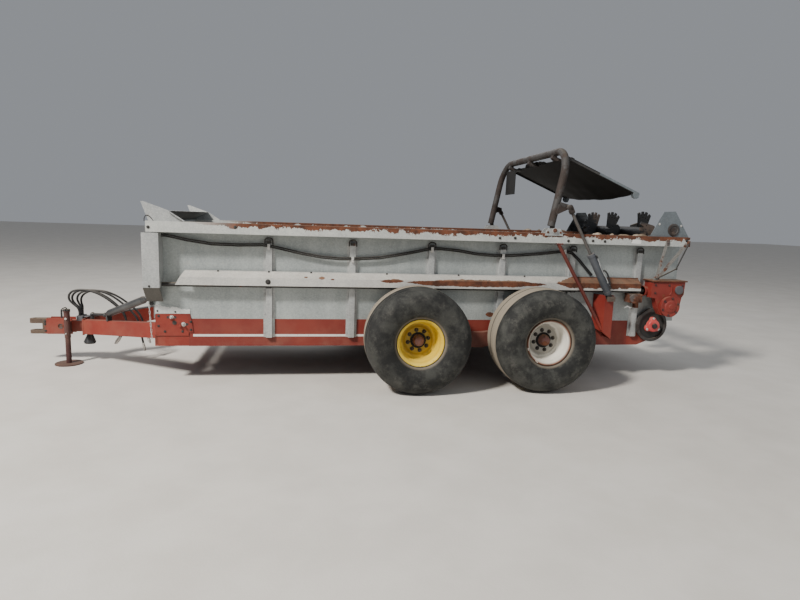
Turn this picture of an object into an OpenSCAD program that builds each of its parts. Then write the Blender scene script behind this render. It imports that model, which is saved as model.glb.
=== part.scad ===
// Tandem-axle box spreader for farmyard manure, towed at a drawbar.
// The hitch points to -X, the ground is at z = 0 and the sides lie at plus and minus Y.
// Lengths along X are written from the front end of the top rails, then moved by frame_shift.

/* [Load box] */
// Length of the load box along its top rails
box_len = 5540; // [5400:10:5700]
// Distance from the centreline to the outer face of a side wall
wall_y = 870; // [866:1:874]
// Thickness of the wall sheet
wall_t = 6; // [4:1:8]
// Height of the sill's top, on which floor and walls stand
floor_z = 640; // [636:1:644]
// Thickness of the floor
floor_t = 18; // [14:1:20]
// Height of the underside of the top rails
rail_z = 1480; // [1470:5:1490]
// Depth of a top rail
rail_h = 100; // [90:5:110]
// Distance from the centreline to the outer face of a top rail
rail_y = 1030; // [1020:2:1034]
// Sheet thickness of the top rails
rail_t = 5; // [4:1:8]
// Width of a wall stake with its feet
stake_w = 110; // [100:5:120]
// Depth of a wall stake
stake_d = 35; // [30:1:38]
// Sheet thickness of stakes and shields
plate_t = 4; // [3:0.5:5]

/* [Frame] */
// Height of the underside of a sill
sill_z = 365; // [355:5:375]
// Depth of a sill's bottom flange
sill_d = 80; // [70:5:90]
// Plate thickness of a sill
sill_t = 8; // [6:1:10]
// Place of the front end of a sill
sill_front = 330; // [320:5:340]
// Distance from the rear end of a sill to the rear end of the rails
sill_short = 540; // [530:5:550]
// Depth of a cross-member under the floor
cross_h = 60; // [50:5:70]
// Width of a cross-member
cross_w = 80; // [60:5:100]
// Width of a tongue beam
beam_w = 80; // [70:5:90]
// Depth of a tongue beam
beam_h = 152; // [140:2:160]
// Distance from the centreline to a tongue beam's outer edge at its front end
beam_front_y = 120; // [116:1:124]
// Distance from the centreline to a tongue beam's outer edge at its rear end
beam_rear_y = 750; // [730:5:770]
// Place of the front end of the tongue beams
beam_front_x = -914; // [-930:2:-900]

/* [Hitch and stand] */
// Reach of the hitch ahead of the top rails
hitch_reach = 1490; // [1480:2:1500]
// Radius of the hole for the drawbar pin
pin_hole_r = 17; // [15:0.5:19]
// Radius of the rounded end of the hitch
hitch_nose_r = 50; // [46:1:54]
// Radius of the stand's sleeve
jack_r = 30; // [29.5:0.5:33]
// Radius of the stand's foot
foot_r = 135; // [120:5:150]

/* [Wheels] */
// Radius of a tyre
tyre_r = 518; // [512:1:522]
// Width of a tyre
tyre_w = 546; // [536:2:550]
// Radius of a rim at its flange
rim_r = 228; // [222:1:232]
// Distance from the centreline to the middle of a tyre
wheel_y = 1235; // [1232:1:1245]
// Distance from the rear axle to the rear end of the rails
rear_overhang = 1715; // [1705:5:1725]
// Distance between the two axles
axle_gap = 1285; // [1275:5:1295]
// Radius of a wheel spindle
spindle_r = 38; // [34:1:42]

/* [Rear gate] */
// Distance from the gate's pivots to the rear end of the rails
gate_short = 1560; // [1550:2:1570]
// Height of the gate's pivots above the rails
gate_rise = 30; // [29:0.5:34]
// Distance from the centreline to an arch leg
arch_y = 985; // [980:1:988]
// Radius of the arch tube
arch_r = 39; // [37:1:40]
// Height of the arch above its pivots
arch_h = 846; // [836:2:856]
// Lean of the raised arch towards the rear
arch_lean = 11; // [10:0.5:12]
// Length of the gate panel
gate_len = 950; // [940:5:960]
// Slope of the raised gate panel below the level
gate_drop = 22.3; // [21:0.5:23]

/* [Gate cylinders] */
// Distance from the centreline to a cylinder's axis
cyl_y = 1075; // [1073:1:1080]
// Radius of a cylinder barrel
barrel_r = 36; // [33:1:37]
// Length of a barrel from its pin
barrel_len = 525; // [515:5:530]
// Radius of a cylinder rod
rod_r = 16; // [14:0.5:18]

/* [Beaters and apron] */
// Radius of the upper beater at its paddle tips
upper_r = 245; // [230:5:250]
// Radius of the lower beater at its paddle tips
lower_r = 270; // [240:5:280]
// Radius of the upper beater's tube
upper_tube_r = 64; // [60:1:68]
// Height of the apron's shafts
apron_z = 600; // [597:1:603]
// Radius from an apron shaft to the middle of a slat
apron_r = 80; // [79:1:81]
// Height of an apron slat
slat_h = 38; // [34:1:38]
// Distance between apron slats
slat_pitch = 254; // [230:1:300]

/* [Drive] */
// Radius of the drive shaft's shield tube
pto_r = 37; // [33:1:40]
// Radius of the side drive shaft
side_shaft_r = 20; // [17:1:22]
// Radius of the hoses at the tongue
hose_r = 11; // [9:0.5:12]

/* [Hidden] */
$fn = 48;

// Clearances between pieces that fit into each other
fit = 0.3;
seat = 0.3;

// What stands in the rear half is placed from the rear end of the rails: rear(x) is x ahead of it
function rear(x) = box_len - x;
axle_rear = rear(rear_overhang);
axle_front = axle_rear - axle_gap;
gate_x = rear(gate_short);
wall_in = wall_y - wall_t;
rail_top = rail_z + rail_h;
stake_y = wall_y + stake_d;
deck_z = floor_z + floor_t;

// Wall stakes: place along X, height of the foot, height of the head
STAKES = [
    [1100, 456, 1425],
    [1920, 456, 1425],
    [rear(2810), 665, 1425],
    [rear(2050), 665, 1425],
    [rear(1270), 665, 1425],
    [rear(490), 468, 1425]
];
// Places of the cross-members under the floor
CROSS_MEMBERS = [500, 1300, 2100, rear(2640), rear(1840), rear(1140)];

// Tongue beam centreline, from its front end to the front bolster
beam_rear_x = -30;
beam_run = [beam_rear_x - beam_front_x, beam_rear_y - beam_front_y];
beam_angle = atan2(beam_run.y, beam_run.x);
beam_rise = 92;
beam_mid_front_z = 400;
bolster_x = 13;
bolster_top = 480;

// Apron loop: a level run on the floor, a return run below and a half turn at each shaft
apron_front = 200;
apron_rear = rear(288);
sill_rear = rear(sill_short);
apron_run = apron_rear - apron_front;
apron_loop = 2 * apron_run + 2 * PI * apron_r;
slat_count = round(apron_loop / slat_pitch);
slat_t = 30;
slat_y = 800;
chain_y = 700;
chain_w = 26;
chain_t = 16;
apron_shaft_r = 20;

// Axles, gate and cylinders
pivot_z = rail_top + gate_rise;
axle_tube_r = 55;
axle_tube_x = (axle_front + axle_rear) / 2;
axle_tube_z = 440;
tandem_in = wall_y + 8;
tandem_out = wheel_y - tyre_w / 2 - 17;
pivot_boss_r = 22;
pivot_pin_r = 14;
pivot_boss_l = 80;
// Cylinder pins in the plane of the cylinder: base pin and rod eye, as [x, z]
cyl_base = [rear(902), 920];
rod_eye = [gate_x + 130, pivot_z + 240];
cyl_run = rod_eye - cyl_base;
cyl_len = norm(cyl_run);
cyl_angle = atan2(cyl_run.x, cyl_run.y);

// Beater axes and the side drive line, as [x, z]
upper_axis = [rear(188), 1612];
lower_axis = [rear(95), 1013];
// Rear end of the whole machine, at the lower beater's tips. The origin is midway between it and the hitch's nose.
rear_end = lower_axis.x + lower_r - 1;
frame_shift = (hitch_reach - rear_end) / 2;
lower_shaft_r = 30;
shaft_axis_y = 942;
shaft_axis_z = 985;
gearbox_front = rear(410);
gearbox_in = 965;

// Moves a piece from rail measure to the frame
module place() {
    translate([frame_shift, 0, 0]) children();
}

// Draws a piece and its mirror image on the other side
module both_sides() {
    children();
    mirror([0, 1, 0]) children();
}

// Round bar between two points
module rod_between(a, b, r) {
    v = b - a;
    length = norm(v);
    translate(a)
        rotate([0, acos(v.z / length), atan2(v.y, v.x)])
            cylinder(h = length, r = r);
}

// Tapered bar between two points
module cone_between(a, b, r1, r2) {
    v = b - a;
    length = norm(v);
    translate(a)
        rotate([0, acos(v.z / length), atan2(v.y, v.x)])
            cylinder(h = length, r1 = r1, r2 = r2);
}

// Flat bar between two points of the XZ plane, w wide, from y to y + t
module flat_between(a, b, w, y, t) {
    v = b - a;
    translate([a.x, y, a.y])
        rotate([0, -atan2(v.y, v.x), 0])
            translate([0, 0, -w / 2])
                cube([norm(v), t, w]);
}

// Plate whose outline lies in the XZ plane, from y to y + t
module side_plate(outline, y, t) {
    translate([0, y + t, 0]) rotate([90, 0, 0]) linear_extrude(t) polygon(outline);
}

// Profile given as [y, z] and drawn along X from x0 to x1
module along_x(x0, x1, profile) {
    translate([x0, 0, 0]) rotate([90, 0, 90]) linear_extrude(x1 - x0) polygon(profile);
}

// Cylinder along Y from y0 to y1 about the axis [x, z]
module disc_y(axis, y0, y1, r) {
    translate([axis.x, y1, axis.y]) rotate([90, 0, 0]) cylinder(h = y1 - y0, r = r);
}

// Sill: web and bottom flange, drawn for the +Y side
module sill_one() {
    difference() {
        along_x(sill_front, sill_rear, [
            [wall_y, sill_z], [wall_y, floor_z], [wall_y - sill_t, floor_z],
            [wall_y - sill_t, sill_z + sill_t], [wall_y - sill_d, sill_z + sill_t],
            [wall_y - sill_d, sill_z]
        ]);
        disc_y([axle_tube_x, axle_tube_z], wall_y - sill_t - 1, wall_y + 1, axle_tube_r + fit);
    }
}

module sills() {
    color("firebrick") both_sides() sill_one();
}

// Hollow members under the floor, and the tube below them on which the tandem beams rock
module cross_members() {
    length = 2 * (wall_y - sill_t);
    color("firebrick") {
        disc_y([axle_tube_x, axle_tube_z], -tandem_in, tandem_in, axle_tube_r);
        for (x = CROSS_MEMBERS)
            translate([x - cross_w / 2, -length / 2, floor_z - cross_h])
                difference() {
                    cube([cross_w, length, cross_h]);
                    translate([sill_t, -1, sill_t])
                        cube([cross_w - 2 * sill_t, length + 2, cross_h - 2 * sill_t]);
                }
    }
}

module front_bolster() {
    leg_z = sill_z + 2;
    color("firebrick") {
        translate([bolster_x, -wall_y, leg_z]) cube([80, 2 * wall_y, bolster_top - leg_z]);
        both_sides()
            translate([bolster_x + 80, wall_y - sill_d, leg_z])
                cube([sill_front - bolster_x - 80, sill_d, bolster_top - leg_z]);
    }
}

// Plates that carry the apron's shafts: slotted adjusters at the front, sill ends at the rear
module shaft_plates() {
    front = [[24, 470], [24, 681], [300, 681], [sill_front, 650], [sill_front, 470]];
    rear = [
        [sill_rear, sill_z], [sill_rear + 130, sill_z], [sill_rear + 290, 430],
        [sill_rear + 345, 520], [sill_rear + 345, floor_z], [sill_rear, floor_z]
    ];
    color("firebrick") {
        both_sides() {
            difference() {
                union() {
                    side_plate(front, wall_y, sill_t);
                    for (bolt = [[171, 646], [254, 571]]) {
                        disc_y(bolt, wall_y + sill_t, wall_y + sill_t + 6, 22);
                        disc_y(bolt, wall_y + sill_t, wall_y + sill_t + 26, 11);
                    }
                }
                disc_y([apron_front, apron_z], wall_y - 1, wall_y + sill_t + 1, apron_shaft_r + fit);
            }
            difference() {
                side_plate(rear, wall_y - sill_t, sill_t);
                disc_y([apron_rear, apron_z], wall_y - sill_t - 1, wall_y + 1, apron_shaft_r + fit);
            }
        }
        translate([sill_rear + 20, -(wall_y - sill_t), sill_z + 15])
            cube([60, 2 * (wall_y - sill_t), 60]);
    }
}

// Puts a piece into the measure of the +Y tongue beam: along it, across it and up
module on_beam() {
    mid_y = beam_front_y - beam_w / 2 / cos(beam_angle);
    translate([beam_front_x, mid_y, beam_mid_front_z])
        rotate([0, 0, beam_angle])
            rotate([0, -atan2(beam_rise, norm(beam_run)), 0])
                children();
}

// Tongue beam on the +Y side, rising to the rear and cut square at both ends
module tongue_beam() {
    intersection() {
        on_beam()
            translate([-100, -beam_w / 2, -beam_h / 2])
                cube([norm(beam_run) + 250, beam_w, beam_h]);
        translate([beam_front_x, 0, 0]) cube([bolster_x - beam_front_x, 1000, 1000]);
    }
}

module tongue_beam_left() {
    color("firebrick") mirror([0, 1, 0]) tongue_beam();
}

module tongue_beam_right() {
    color("firebrick") tongue_beam();
}

hitch_back = 190 - hitch_reach;
hitch_throat = hitch_back - 47;
spine_end = beam_front_x - 12;
spine_top = 460;

// Drawbar head: forked nose with the pin hole, side plates, spine and the plate behind it
module hitch() {
    nose_x = hitch_nose_r - hitch_reach;
    color("indianred")
        difference() {
            union() {
                for (z = [[430, 477], [316, 350]])
                    translate([0, 0, z[0]])
                        linear_extrude(z[1] - z[0])
                            union() {
                                translate([nose_x, 0]) circle(r = hitch_nose_r);
                                translate([nose_x, -hitch_nose_r])
                                    square([hitch_throat - nose_x, 2 * hitch_nose_r]);
                            }
                translate([hitch_throat, -57, 316]) cube([hitch_back - hitch_throat, 114, 161]);
                for (y = [-57, 45])
                    translate([hitch_back, y, 313]) cube([250, 12, 174]);
                translate([hitch_back, -45, 340]) cube([spine_end - hitch_back, 90, spine_top - 340]);
                translate([spine_end, -122, 313]) cube([12, 244, 174]);
            }
            translate([nose_x, 0, 300]) cylinder(h = 200, r = pin_hole_r);
            translate([hitch_back + 133, 70, 399]) rotate([90, 0, 0]) cylinder(h = 140, r = 28);
        }
}

jack_x = -1070;
jack_y = -130;
jack_leg_r = jack_r - 3.5;

module jack_sleeve() {
    color("maroon")
        difference() {
            union() {
                translate([jack_x, jack_y, 290]) cylinder(h = 286, r = jack_r);
                translate([jack_x, jack_y, 570]) cylinder(h = 14, r = jack_r + 4);
                translate([jack_x - 16, jack_y + jack_r - 8, 335])
                    cube([32, -jack_y - 57 - jack_r + 8, 120]);
            }
            translate([jack_x, jack_y, 280]) cylinder(h = 288, r = jack_leg_r + fit);
        }
}

module jack_leg() {
    color("maroon")
        union() {
            translate([jack_x, jack_y, 10]) cylinder(h = 350, r = jack_leg_r);
            translate([jack_x, jack_y, 0]) cylinder(h = 12, r = foot_r);
        }
}

// Side wall on the +Y side, with the hole for the lower beater's shaft
module wall_one() {
    difference() {
        translate([10, wall_in, floor_z]) cube([box_len - 10, wall_t, rail_z - floor_z]);
        disc_y(lower_axis, wall_in - 1, wall_y + 1, lower_shaft_r + 12);
    }
}

module wall_left() {
    color("lightslategray") mirror([0, 1, 0]) wall_one();
}

module wall_right() {
    color("lightslategray") wall_one();
}

// Front wall with its top tube and the corner sheets outside
module front_wall() {
    corner = [[20, floor_z + 41], [20, floor_z + 160], [330, floor_z + 100], [330, floor_z + 41]];
    color("lightslategray") {
        both_sides() side_plate(corner, wall_y, plate_t);
        translate([10, -wall_in, floor_z]) cube([6, 2 * wall_in, rail_z - floor_z]);
        translate([10, -wall_in, rail_z]) cube([70, 2 * wall_in, rail_h]);
    }
}

// Floor under the slats, and the sloping deck that leads onto it from the front wall
module floor_plate() {
    deck = [[16, 762], [16, 756], [apron_front + 12, deck_z + slat_h + 8], [apron_front + 12, deck_z + slat_h + 14]];
    color("dimgray") {
        translate([apron_front + 75, -wall_in, floor_z])
            cube([apron_rear - apron_front - 150, 2 * wall_in, floor_t]);
        side_plate(deck, -wall_in, 2 * wall_in);
    }
}

// Top rails: downward channels that stand out over the walls
module top_rails() {
    z1 = rail_top;
    profile = [
        [wall_in, rail_z], [wall_in, z1], [rail_y, z1], [rail_y, rail_z],
        [rail_y - 35, rail_z], [rail_y - 35, rail_z + rail_t], [rail_y - rail_t, rail_z + rail_t],
        [rail_y - rail_t, z1 - rail_t], [wall_in + rail_t, z1 - rail_t],
        [wall_in + rail_t, rail_z + rail_t], [wall_y + 10, rail_z + rail_t], [wall_y + 10, rail_z]
    ];
    color("silver") both_sides() along_x(0, box_len, profile);
}

// Hat-shaped stake on the outside of a wall, for the +Y side
module stake(x, foot, head) {
    w = stake_w / 2;
    crown = w - 22;
    translate([x, wall_y, foot])
        linear_extrude(head - foot)
            polygon([
                [-w, 0], [-w, plate_t], [-crown, plate_t], [-crown + 4, stake_d],
                [crown - 4, stake_d], [crown, plate_t], [w, plate_t], [w, 0],
                [crown - plate_t, 0], [crown - plate_t - 4, stake_d - plate_t],
                [-crown + plate_t + 4, stake_d - plate_t], [-crown + plate_t, 0]
            ]);
}

module stakes_left() {
    color("silver") mirror([0, 1, 0]) for (s = STAKES) stake(s[0], s[1], s[2]);
}

module stakes_right() {
    color("silver") for (s = STAKES) stake(s[0], s[1], s[2]);
}

// Bent guard over the front wall: side wings, folded corners and the sheet between them
module front_splash_guard() {
    t = plate_t;
    z = rail_top;
    peak = [200, z + 100];
    tip = [-45, z + 176];
    y = rail_y - 30;
    color("silver") {
        both_sides() {
            side_plate([[20, z], [peak.x, peak.y], [345, z]], y - t, t);
            side_plate([[20, z], [tip.x, tip.y], [tip.x + 22, tip.y + 2], [peak.x, peak.y]], y - 2 * t, t);
            translate([0, y, 0])
                side_plate([[peak.x, peak.y], [peak.x - 4, peak.y - 5], [341, z], [345, z + 6]], 0, 30);
        }
        side_plate([[peak.x, peak.y], [peak.x + 5, peak.y - 3], [25, z], [17, z]], -(y - 2 * t), 2 * (y - 2 * t));
    }
}

cover_y = 980;

// Folded cover over the side drive shaft, on the left side, with its front end cut at a slant
module shaft_cover() {
    t = plate_t;
    profile = [
        [-cover_y, 985], [-cover_y, 1062], [-stake_y - t, 1112], [-stake_y - t, 1122],
        [-stake_y, 1122], [-stake_y, 1110], [-cover_y + t, 1060], [-cover_y + t, 985]
    ];
    color("silver")
        difference() {
            along_x(235, rear(490), profile);
            translate([235, -cover_y - 50, 985]) rotate([0, 30, 0]) translate([-300, 0, -50]) cube([300, 200, 300]);
        }
}

// Upright trunk at the front left corner, with the flap that slopes in below it
module front_drive_shield() {
    t = plate_t;
    x0 = -40;
    x1 = 110;
    z0 = 960;
    z1 = rail_z - 8;
    y0 = -rail_y;
    color("silver")
        difference() {
            union() {
                translate([x0, y0, z0]) cube([x1 - x0, t, z1 - z0]);
                translate([x0, y0, z0]) cube([t, rail_y - wall_y, z1 - z0]);
                translate([x1 - t, y0, z0]) cube([t, rail_y - wall_y, z1 - z0]);
                along_x(x0, x1, [[y0, z0], [y0 + 5, z0], [-wall_y - 30, 815], [-wall_y - 35, 812]]);
            }
            translate([x0, -shaft_axis_y, shaft_axis_z])
                rotate([0, 90, 0]) cylinder(h = 400, r = side_shaft_r + 8);
        }
}

// Cast case ahead of the front wall that takes the drive out to the side shaft
module front_gearcase() {
    color("gray")
        difference() {
            union() {
                translate([-30, -895, 770]) cube([40, 135, 270]);
                translate([-30, -1015, 972]) cube([40, 130, 68]);
                translate([9, -985, 955]) cube([60, 110, 70]);
            }
            translate([30, -shaft_axis_y, shaft_axis_z])
                rotate([0, 90, 0]) cylinder(h = 60, r = side_shaft_r + fit);
        }
}

// Drive shaft along the left side in its bearing blocks, which sit on the stakes
module side_shaft() {
    color("dimgray") {
        translate([31, -shaft_axis_y, shaft_axis_z])
            rotate([0, 90, 0]) cylinder(h = gearbox_front - 32, r = side_shaft_r);
        for (i = [0, 2, 4])
            translate([STAKES[i][0] - 25, -shaft_axis_y - 26, shaft_axis_z - 26])
                cube([50, shaft_axis_y + 26 - stake_y, 52]);
    }
}

pto_joint_r = 26;
pto_a = [-560, -350, 600];
pto_b = [-30 - pto_joint_r - seat, -850, 830];
pto_dir = (pto_b - pto_a) / norm(pto_b - pto_a);
pto_saddle = 436;

// Drive shaft: shielded rear tube on its saddle, then the front part, whose bell hangs between the beams
module pto_shaft() {
    knuckle = pto_a - 110 * pto_dir;
    knee = [-850, -20, 525];
    bell = [-885, -20, 300];
    color("dimgray") {
        union() {
            translate(pto_b) sphere(r = pto_joint_r);
            rod_between(pto_a, pto_b - 60 * pto_dir, pto_r);
            cone_between(pto_b - 62 * pto_dir, pto_b - 10 * pto_dir, pto_r - 1, 20);
            cone_between(pto_a + 2 * pto_dir, pto_a - 84 * pto_dir, pto_r - 1, 19);
            mirror([0, 1, 0]) on_beam() translate([pto_saddle - 12, -8, beam_h / 2]) cube([24, 56, 62]);
        }
        union() {
            translate(knuckle) sphere(r = pto_joint_r - 1);
            rod_between(knuckle, knee, 17);
            translate(knee) sphere(r = pto_joint_r);
            rod_between(knee, bell, 20);
            cone_between(bell + [0, 0, 12], bell - [6, 0, 80], 26, 62);
            cone_between(bell - [6, 0, 79], bell - [7, 0, 96], 61, 56);
        }
    }
}

// Point of the apron's loop at the distance s from the front end of its level run, as [x, z, turn]
function apron_at(s) =
    let (turn = PI * apron_r, rear = apron_run + turn, back = rear + apron_run)
    s < apron_run ? [apron_front + s, apron_z + apron_r, 0]
    : s < rear ? let (a = (s - apron_run) / turn * 180)
        [apron_rear + apron_r * sin(a), apron_z + apron_r * cos(a), a]
    : s < back ? [apron_rear - (s - rear), apron_z - apron_r, 180]
    : let (a = 180 + (s - back) / turn * 180)
        [apron_front + apron_r * sin(a), apron_z + apron_r * cos(a), a];

// Outline of the loop at the offset d from its middle line
module apron_outline(d) {
    for (x = [apron_front, apron_rear]) translate([x, apron_z]) circle(r = apron_r + d);
    translate([apron_front, apron_z - apron_r - d]) square([apron_run, 2 * (apron_r + d)]);
}

// Slats on two chains, one closed loop round both shafts
module apron() {
    color("saddlebrown")
        union() {
            for (y = [-chain_y, chain_y])
                translate([0, y + chain_w / 2, 0])
                    rotate([90, 0, 0])
                        linear_extrude(chain_w)
                            difference() {
                                apron_outline(chain_t / 2);
                                apron_outline(-chain_t / 2);
                            }
            for (i = [0 : slat_count - 1]) {
                p = apron_at((i + 0.5) * apron_loop / slat_count);
                translate([p.x, 0, p.y])
                    rotate([0, p[2], 0])
                        translate([-slat_t / 2, -slat_y, -slat_h / 2])
                            cube([slat_t, 2 * slat_y, slat_h]);
            }
        }
}

bearing_y = 912;

// Front and rear apron shafts with their wheels, and the large disc and hub on the left
module apron_shafts() {
    wheel_r = apron_r - slat_h / 2 - seat;
    color("dimgray") {
        for (x = [apron_front, apron_rear]) {
            for (y = [-chain_y, chain_y])
                disc_y([x, apron_z], y - chain_w / 2, y + chain_w / 2, wheel_r);
            disc_y([x, apron_z], -wall_y - 12, wall_y + 12, apron_shaft_r);
        }
        difference() {
            disc_y([apron_rear, apron_z], -bearing_y - 24, -bearing_y + 6, 180);
            disc_y([apron_rear, apron_z], -bearing_y - 25, -bearing_y - 4, 150);
        }
        disc_y([apron_rear, apron_z], -1000, -wall_y, apron_shaft_r);
        disc_y([apron_rear, apron_z], -980, -bearing_y, 62);
        for (a = [90, 210, 330])
            disc_y([apron_rear + 58 * cos(a), apron_z + 58 * sin(a)], -958, -bearing_y, 34);
    }
}

// Worm box that drives the apron, on the wall ahead of the main gearbox
module apron_gearbox() {
    color("sienna")
        union() {
            translate([rear(630), -1005, 862]) cube([150, 1005 - stake_y, 92]);
            disc_y([rear(585), 905], -1030, -1004, 48);
            side_plate([[rear(545), 800], [rear(545), 870], [rear(505), 870], [rear(505), 800]], -985, 50);
        }
}

// Cast gearbox at the rear left corner, with its bearing flange, cap and input boss
module main_gearbox() {
    flange = [upper_axis.x, 830];
    color("firebrick")
        difference() {
            union() {
                side_plate([
                    [gearbox_front, 925], [gearbox_front + 12, 1085], [rear(275), 1100], [rear(12), 1100],
                    [rear(18), 960], [rear(40), 930], [rear(60), 800], [rear(100), 735], [rear(270), 735],
                    [rear(315), 800], [rear(350), 915]
                ], -1045, 1045 - gearbox_in);
                disc_y(flange, -1080, -1040, 110);
                disc_y(flange, -1092, -1070, 45);
                disc_y(lower_axis, -1072, -1040, 45);
                side_plate([[rear(380), 955], [rear(380), 1100], [rear(20), 1100], [rear(20), 955]], -966, 966 - wall_y);
                side_plate([[rear(400), 1098], [rear(400), 1110], [box_len, 1110], [box_len, 1098]], -1060, 1060 - wall_y);
                translate([gearbox_front - 34, -shaft_axis_y, shaft_axis_z])
                    rotate([0, 90, 0]) cylinder(h = 66, r = 48);
            }
            translate([gearbox_front - 35, -shaft_axis_y, shaft_axis_z])
                rotate([0, 90, 0]) cylinder(h = 60, r = side_shaft_r + fit);
            disc_y(lower_axis, -1000, -wall_y + 1, lower_shaft_r + fit);
        }
}

// Flanged bearing of the lower beater on the right wall
module lower_bearing() {
    color("firebrick")
        difference() {
            union() {
                disc_y(lower_axis, wall_y, wall_y + 14, 70);
                disc_y(lower_axis, wall_y, wall_y + 46, 48);
            }
            disc_y(lower_axis, wall_y - 1, wall_y + 40, lower_shaft_r + fit);
        }
}

guard_y = rail_y - 30;

// Trapezoid plates on the rails with the upper beater's bearing rings
module beater_guards() {
    color("silver")
        both_sides()
            difference() {
                union() {
                    side_plate([
                        [rear(457), rail_top], [rear(316), rail_top + 264], [rear(182), rail_top + 272], [box_len, rail_top]
                    ], guard_y - 6, 6);
                    side_plate([
                        [rear(457), rail_top], [rear(457), rail_top + 6], [box_len, rail_top + 6], [box_len, rail_top]
                    ], guard_y - 40, 40);
                    disc_y(upper_axis, guard_y - 34, guard_y, stub_r + 22);
                }
                disc_y(upper_axis, guard_y - 50, guard_y + 10, stub_r + fit);
                translate([upper_axis.x - 100, guard_y - 60, rail_top - 100]) cube([200, 120, 100]);
            }
}

// Serrated paddle: a fan with teeth along its tip and a hole under each, drawn pointing up, from y = -t/2
module paddle(inner, tip, base, teeth, t) {
    first = -9 * (teeth - 1);
    function spot(r, a) = [r * sin(a), r * cos(a)];
    outline = concat(
        [[-base, inner]],
        [for (k = [0 : teeth - 1])
            let (a = first + 18 * k)
            each [spot(tip - 50, a - 8), spot(tip, a - 5), spot(tip, a + 4), spot(tip - 52, a + 8)]],
        [[base, inner]]
    );
    rotate([90, 0, 0])
        translate([0, 0, -t / 2])
            linear_extrude(t)
                difference() {
                    polygon(outline);
                    for (k = [0 : teeth - 1]) translate(spot(tip - 72, first + 18 * k)) circle(r = 8, $fn = 8);
                }
}

// Pairs of opposite paddles along a beater, each station given as [place along the shaft, turn]
module beater_paddles(tube_r, tip_r, base, teeth, stations, skew) {
    for (station = stations, flip = [0, 180])
        translate([0, station[0], 0])
            rotate([0, station[1] + flip, 0])
                rotate([0, 0, skew])
                    paddle(tube_r - 8, tip_r, base, teeth, 12);
}

UPPER_STATIONS = [[-765, 92], [-405, 6], [-60, 84], [305, 12], [535, 98], [748, 2]];
stub_r = 26;

module upper_beater() {
    color([0.1, 0.09, 0.09])
        union() {
            disc_y(upper_axis, -wall_in + 12, wall_in - 12, upper_tube_r);
            disc_y(upper_axis, -wall_in + 12, -wall_in + 22, upper_tube_r + 26);
            disc_y(upper_axis, wall_in - 22, wall_in - 12, upper_tube_r + 26);
            disc_y(upper_axis, -guard_y - 6, guard_y + 6, stub_r);
            translate([upper_axis.x, 0, upper_axis.y])
                beater_paddles(upper_tube_r, upper_r, 84, 4, UPPER_STATIONS, 24);
        }
}

module lower_beater() {
    stations = [for (i = [0 : 6]) [-720 + i * 240, i * 64]];
    color([0.1, 0.09, 0.09])
        union() {
            disc_y(lower_axis, -wall_in + 9, wall_in - 9, 60);
            disc_y(lower_axis, -998, wall_y + 38, lower_shaft_r);
            translate([lower_axis.x, 0, lower_axis.y])
                beater_paddles(60, lower_r, 62, 3, stations, 28);
        }
}

// Rocking beam on the +Y side with its two spindles
module tandem_beam() {
    half = (axle_rear - axle_front) / 2;
    end = half + 88;
    up = tyre_r - axle_tube_z;
    outline = [
        [-end, up - 48], [-end, up + 48], [-half + 80, up + 58], [-120, 80], [120, 80],
        [half - 80, up + 58], [end, up + 48], [end, up - 48], [half - 60, up - 58],
        [120, -80], [-120, -80], [-half + 60, up - 58]
    ];
    union() {
        translate([axle_tube_x, 0, axle_tube_z]) side_plate(outline, tandem_in, tandem_out - tandem_in);
        for (x = [axle_front, axle_rear]) disc_y([x, tyre_r], tandem_out - 10, wheel_y + 60, spindle_r);
    }
}

module tandem_beams() {
    color("firebrick") both_sides() tandem_beam();
}

// Tyre section as [distance from the middle, radius], from the inner bead over the tread
tyre_h = tyre_w / 2;
bead_r = rim_r - 22;
tyre_side = [
    [tyre_h - 72, rim_r + 4], [tyre_h - 30, rim_r + 40], [tyre_h - 4, rim_r + 105],
    [tyre_h, tyre_r - 135], [tyre_h - 12, tyre_r - 85], [tyre_h - 40, tyre_r - 42],
    [tyre_h - 78, tyre_r - 14], [tyre_h - 150, tyre_r - 3]
];

module tyre(x, side) {
    left = [for (p = tyre_side) [p[1], -p[0]]];
    n = len(tyre_side);
    right = [for (i = [n - 1 : -1 : 0]) [tyre_side[i][1], tyre_side[i][0]]];
    inner = [[bead_r, tyre_h - 72], [bead_r - 3, 60], [bead_r - 3, -60], [bead_r, -tyre_h + 72]];
    color([0.13, 0.13, 0.14])
        translate([x, side * wheel_y, tyre_r])
            rotate([90, 0, 0])
                rotate_extrude($fn = 60) polygon(concat(left, [[tyre_r, 0]], right, inner));
}

// Rim with its deep disc, hub and cap, outer side towards +Y, about the Y axis
module rim_shape() {
    edge = tyre_h - 58;
    t = 8;
    r = bead_r - 3 - t;
    rotate([-90, 0, 0])
        difference() {
            union() {
                rotate_extrude()
                    polygon([
                        [rim_r, edge], [rim_r, edge - 6], [bead_r - 1, edge - 14], [bead_r - 3.3, 60],
                        [bead_r - 3.3, -60], [bead_r - 1, -edge + 14], [rim_r, -edge + 6], [rim_r, -edge],
                        [rim_r - 8, -edge - 2], [r + 2, -edge + 14], [r - 2, -60], [r - 2, 46],
                        [95, 60], [95, 70], [r - 2, 58], [r + 2, edge - 14], [rim_r - 8, edge + 2]
                    ]);
                translate([0, 0, -110]) cylinder(h = 215, r = 78);
                translate([0, 0, 60]) cylinder(h = 12, r = 118);
                translate([0, 0, 100]) cylinder(h = 34, r = 46);
                for (a = [0 : 45 : 315])
                    rotate([0, 0, a]) translate([102, 0, 71]) cylinder(h = 26, r = 11, $fn = 16);
            }
            translate([0, 0, -111]) cylinder(h = 171 + 10, r = spindle_r + fit);
        }
}

module rim(x, side, tone) {
    color(tone)
        translate([x, side * wheel_y, tyre_r])
            mirror([0, side < 0 ? 1 : 0, 0]) rim_shape();
}

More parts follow.
